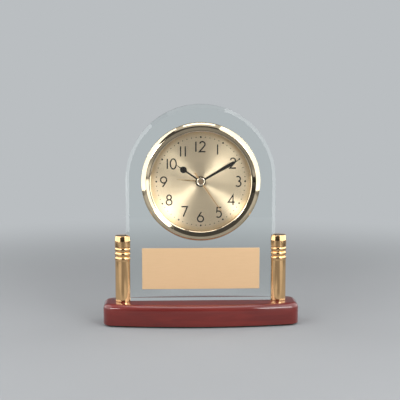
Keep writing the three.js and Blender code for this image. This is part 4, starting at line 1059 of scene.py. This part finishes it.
class RoomPaint(Paint):
    """The world's nodes, made in the same way as a material's."""

    def __init__(self, name):
        self.world = bpy.data.worlds.new(name)
        self.world.use_nodes = True
        self.tree = self.world.node_tree
        self.tree.nodes.clear()


def room_paint():
    """Pale backdrop that dims upwards; a gloss sees it behind the clock, and a dim studio in front of it."""
    paint = RoomPaint("room")
    _, y, z = paint.parts_of(paint.node("ShaderNodeTexCoord", out="Generated"))
    glossy = paint.node("ShaderNodeLightPath", out="Is Glossy Ray") * paint.eased(y, 0.3, 0.75)
    backdrop = paint.mixed(paint.eased(z, 0.05, 0.2), ROOM_TONE, ROOM_HIGH)
    shade = paint.mixed(seen_as_room(paint).largest(glossy), ROOM_FRONT, backdrop)
    background = paint.node("ShaderNodeBackground", inputs={"Color": shade})
    paint.node("ShaderNodeOutputWorld", inputs={"Surface": background})
    return paint.world


def build_dark_cloth():
    """Black cloth in front, out of view, that keeps the lens and the cap fronts dark in their gloss."""
    work = bmesh.new()
    bmesh.ops.create_grid(work, x_segments=2, y_segments=2, size=CLOTH_HALF)
    work.transform(Matrix.Translation(CLOTH_PLACE))
    data = bpy.data.meshes.new("black_cloth")
    work.to_mesh(data)
    work.free()
    paint = Paint("black_cloth")
    weave = paint.noise(paint.place(), 400.0, 2.0, 0.6)
    data.materials.append(paint.finished(paint.surface(
        Base_Color=paint.mixed(weave, tone(18, 18, 18), tone(30, 30, 30)), Roughness=0.95)))
    cloth = added("black_cloth", data)
    cloth.visible_camera = cloth.visible_diffuse = False
    cloth.visible_shadow = cloth.visible_transmission = False


def build_room():
    work = bmesh.new()
    bmesh.ops.create_grid(work, x_segments=8, y_segments=8, size=TABLE_HALF)
    data = bpy.data.meshes.new("table_top")
    work.to_mesh(data)
    work.free()
    data.materials.append(floor_paint())
    table = added("table_top", data)
    build_dark_cloth()
    bpy.context.scene.world = room_paint()


def softbox(name, place, towards, width, height, radiance):
    """A rectangular lamp of a given brightness that faces a point; the lens doesn't see it."""
    light = bpy.data.lights.new(name, "AREA")
    light.shape = "RECTANGLE"
    light.size, light.size_y = width, height
    light.energy = radiance * math.pi * width * height
    lamp = added(name, light)
    lamp.location = place
    lamp.rotation_mode = "QUATERNION"
    lamp.rotation_quaternion = (Vector(towards) - Vector(place)).to_track_quat("-Z", "Y")
    lamp.visible_camera = False


def build_lamps():
    """Soft walls close to both sides, a key lamp at each front corner, one overhead and a wide dim lid."""
    for name, side, front, back, low, top in (
        ("left_wall_front", -1, -0.36, WALL_SPLIT, 0.020, 0.85),
        ("left_wall_back", -1, WALL_SPLIT, 0.30, 0.030, 0.85),
        ("right_wall_front", 1, -0.82, WALL_SPLIT, 0.020, 0.90),
        ("right_wall_back", 1, WALL_SPLIT, 0.30, 0.030, 0.90),
    ):
        place = (side * WALL_AWAY, (front + back) / 2, (low + top) / 2)
        softbox(name, place, (0.0, place[1], place[2]), back - front, top - low, WALL_LIGHT)
    softbox("right_key", (0.45, -0.68, 0.38), KEY_AIM, 0.34, 0.28, RIGHT_KEY)
    softbox("left_key", (-0.47, -0.67, 0.40), KEY_AIM, 0.24, 0.20, LEFT_KEY)
    softbox("overhead", (0.0, -0.2, 0.9), (0.0, -0.2, 0.0), 0.5, 0.5, OVERHEAD_LIGHT)
    softbox("lid", (0.05, -0.24, 0.95), (0.05, -0.24, 0.0), 1.0, 1.16, LID_LIGHT)


def build_camera():
    data = bpy.data.cameras.new("camera")
    data.lens = LENS_MM
    data.sensor_width = SENSOR_MM
    data.clip_start, data.clip_end = 0.01, 100.0
    camera = added("camera", data)
    azimuth, pitch = math.radians(CAMERA_AZIMUTH), math.radians(CAMERA_PITCH)
    level = math.cos(pitch)
    back = Vector((math.sin(azimuth) * level, -math.cos(azimuth) * level, math.sin(pitch)))
    camera.location = TARGET + CAMERA_AWAY * back
    camera.rotation_mode = "QUATERNION"
    camera.rotation_quaternion = (-back).to_track_quat("-Z", "Y")
    bpy.context.scene.camera = camera


def main():
    build_camera()
    build_room()
    build_lamps()
    build_plinth()
    build_column(-1)
    build_column(1)
    build_glass()
    build_engraving_plate()
    build_bezel()
    build_lens()
    build_can()
    build_reflector()
    build_dial()
    build_hands()
    build_cap()
    build_back_cover()
    build_knob("time_set_knob", "time_setting")
    build_knob("alarm_set_knob", "alarm_setting")
    finish_nodes()
    bpy.context.scene.view_settings.view_transform = "Standard"


main()
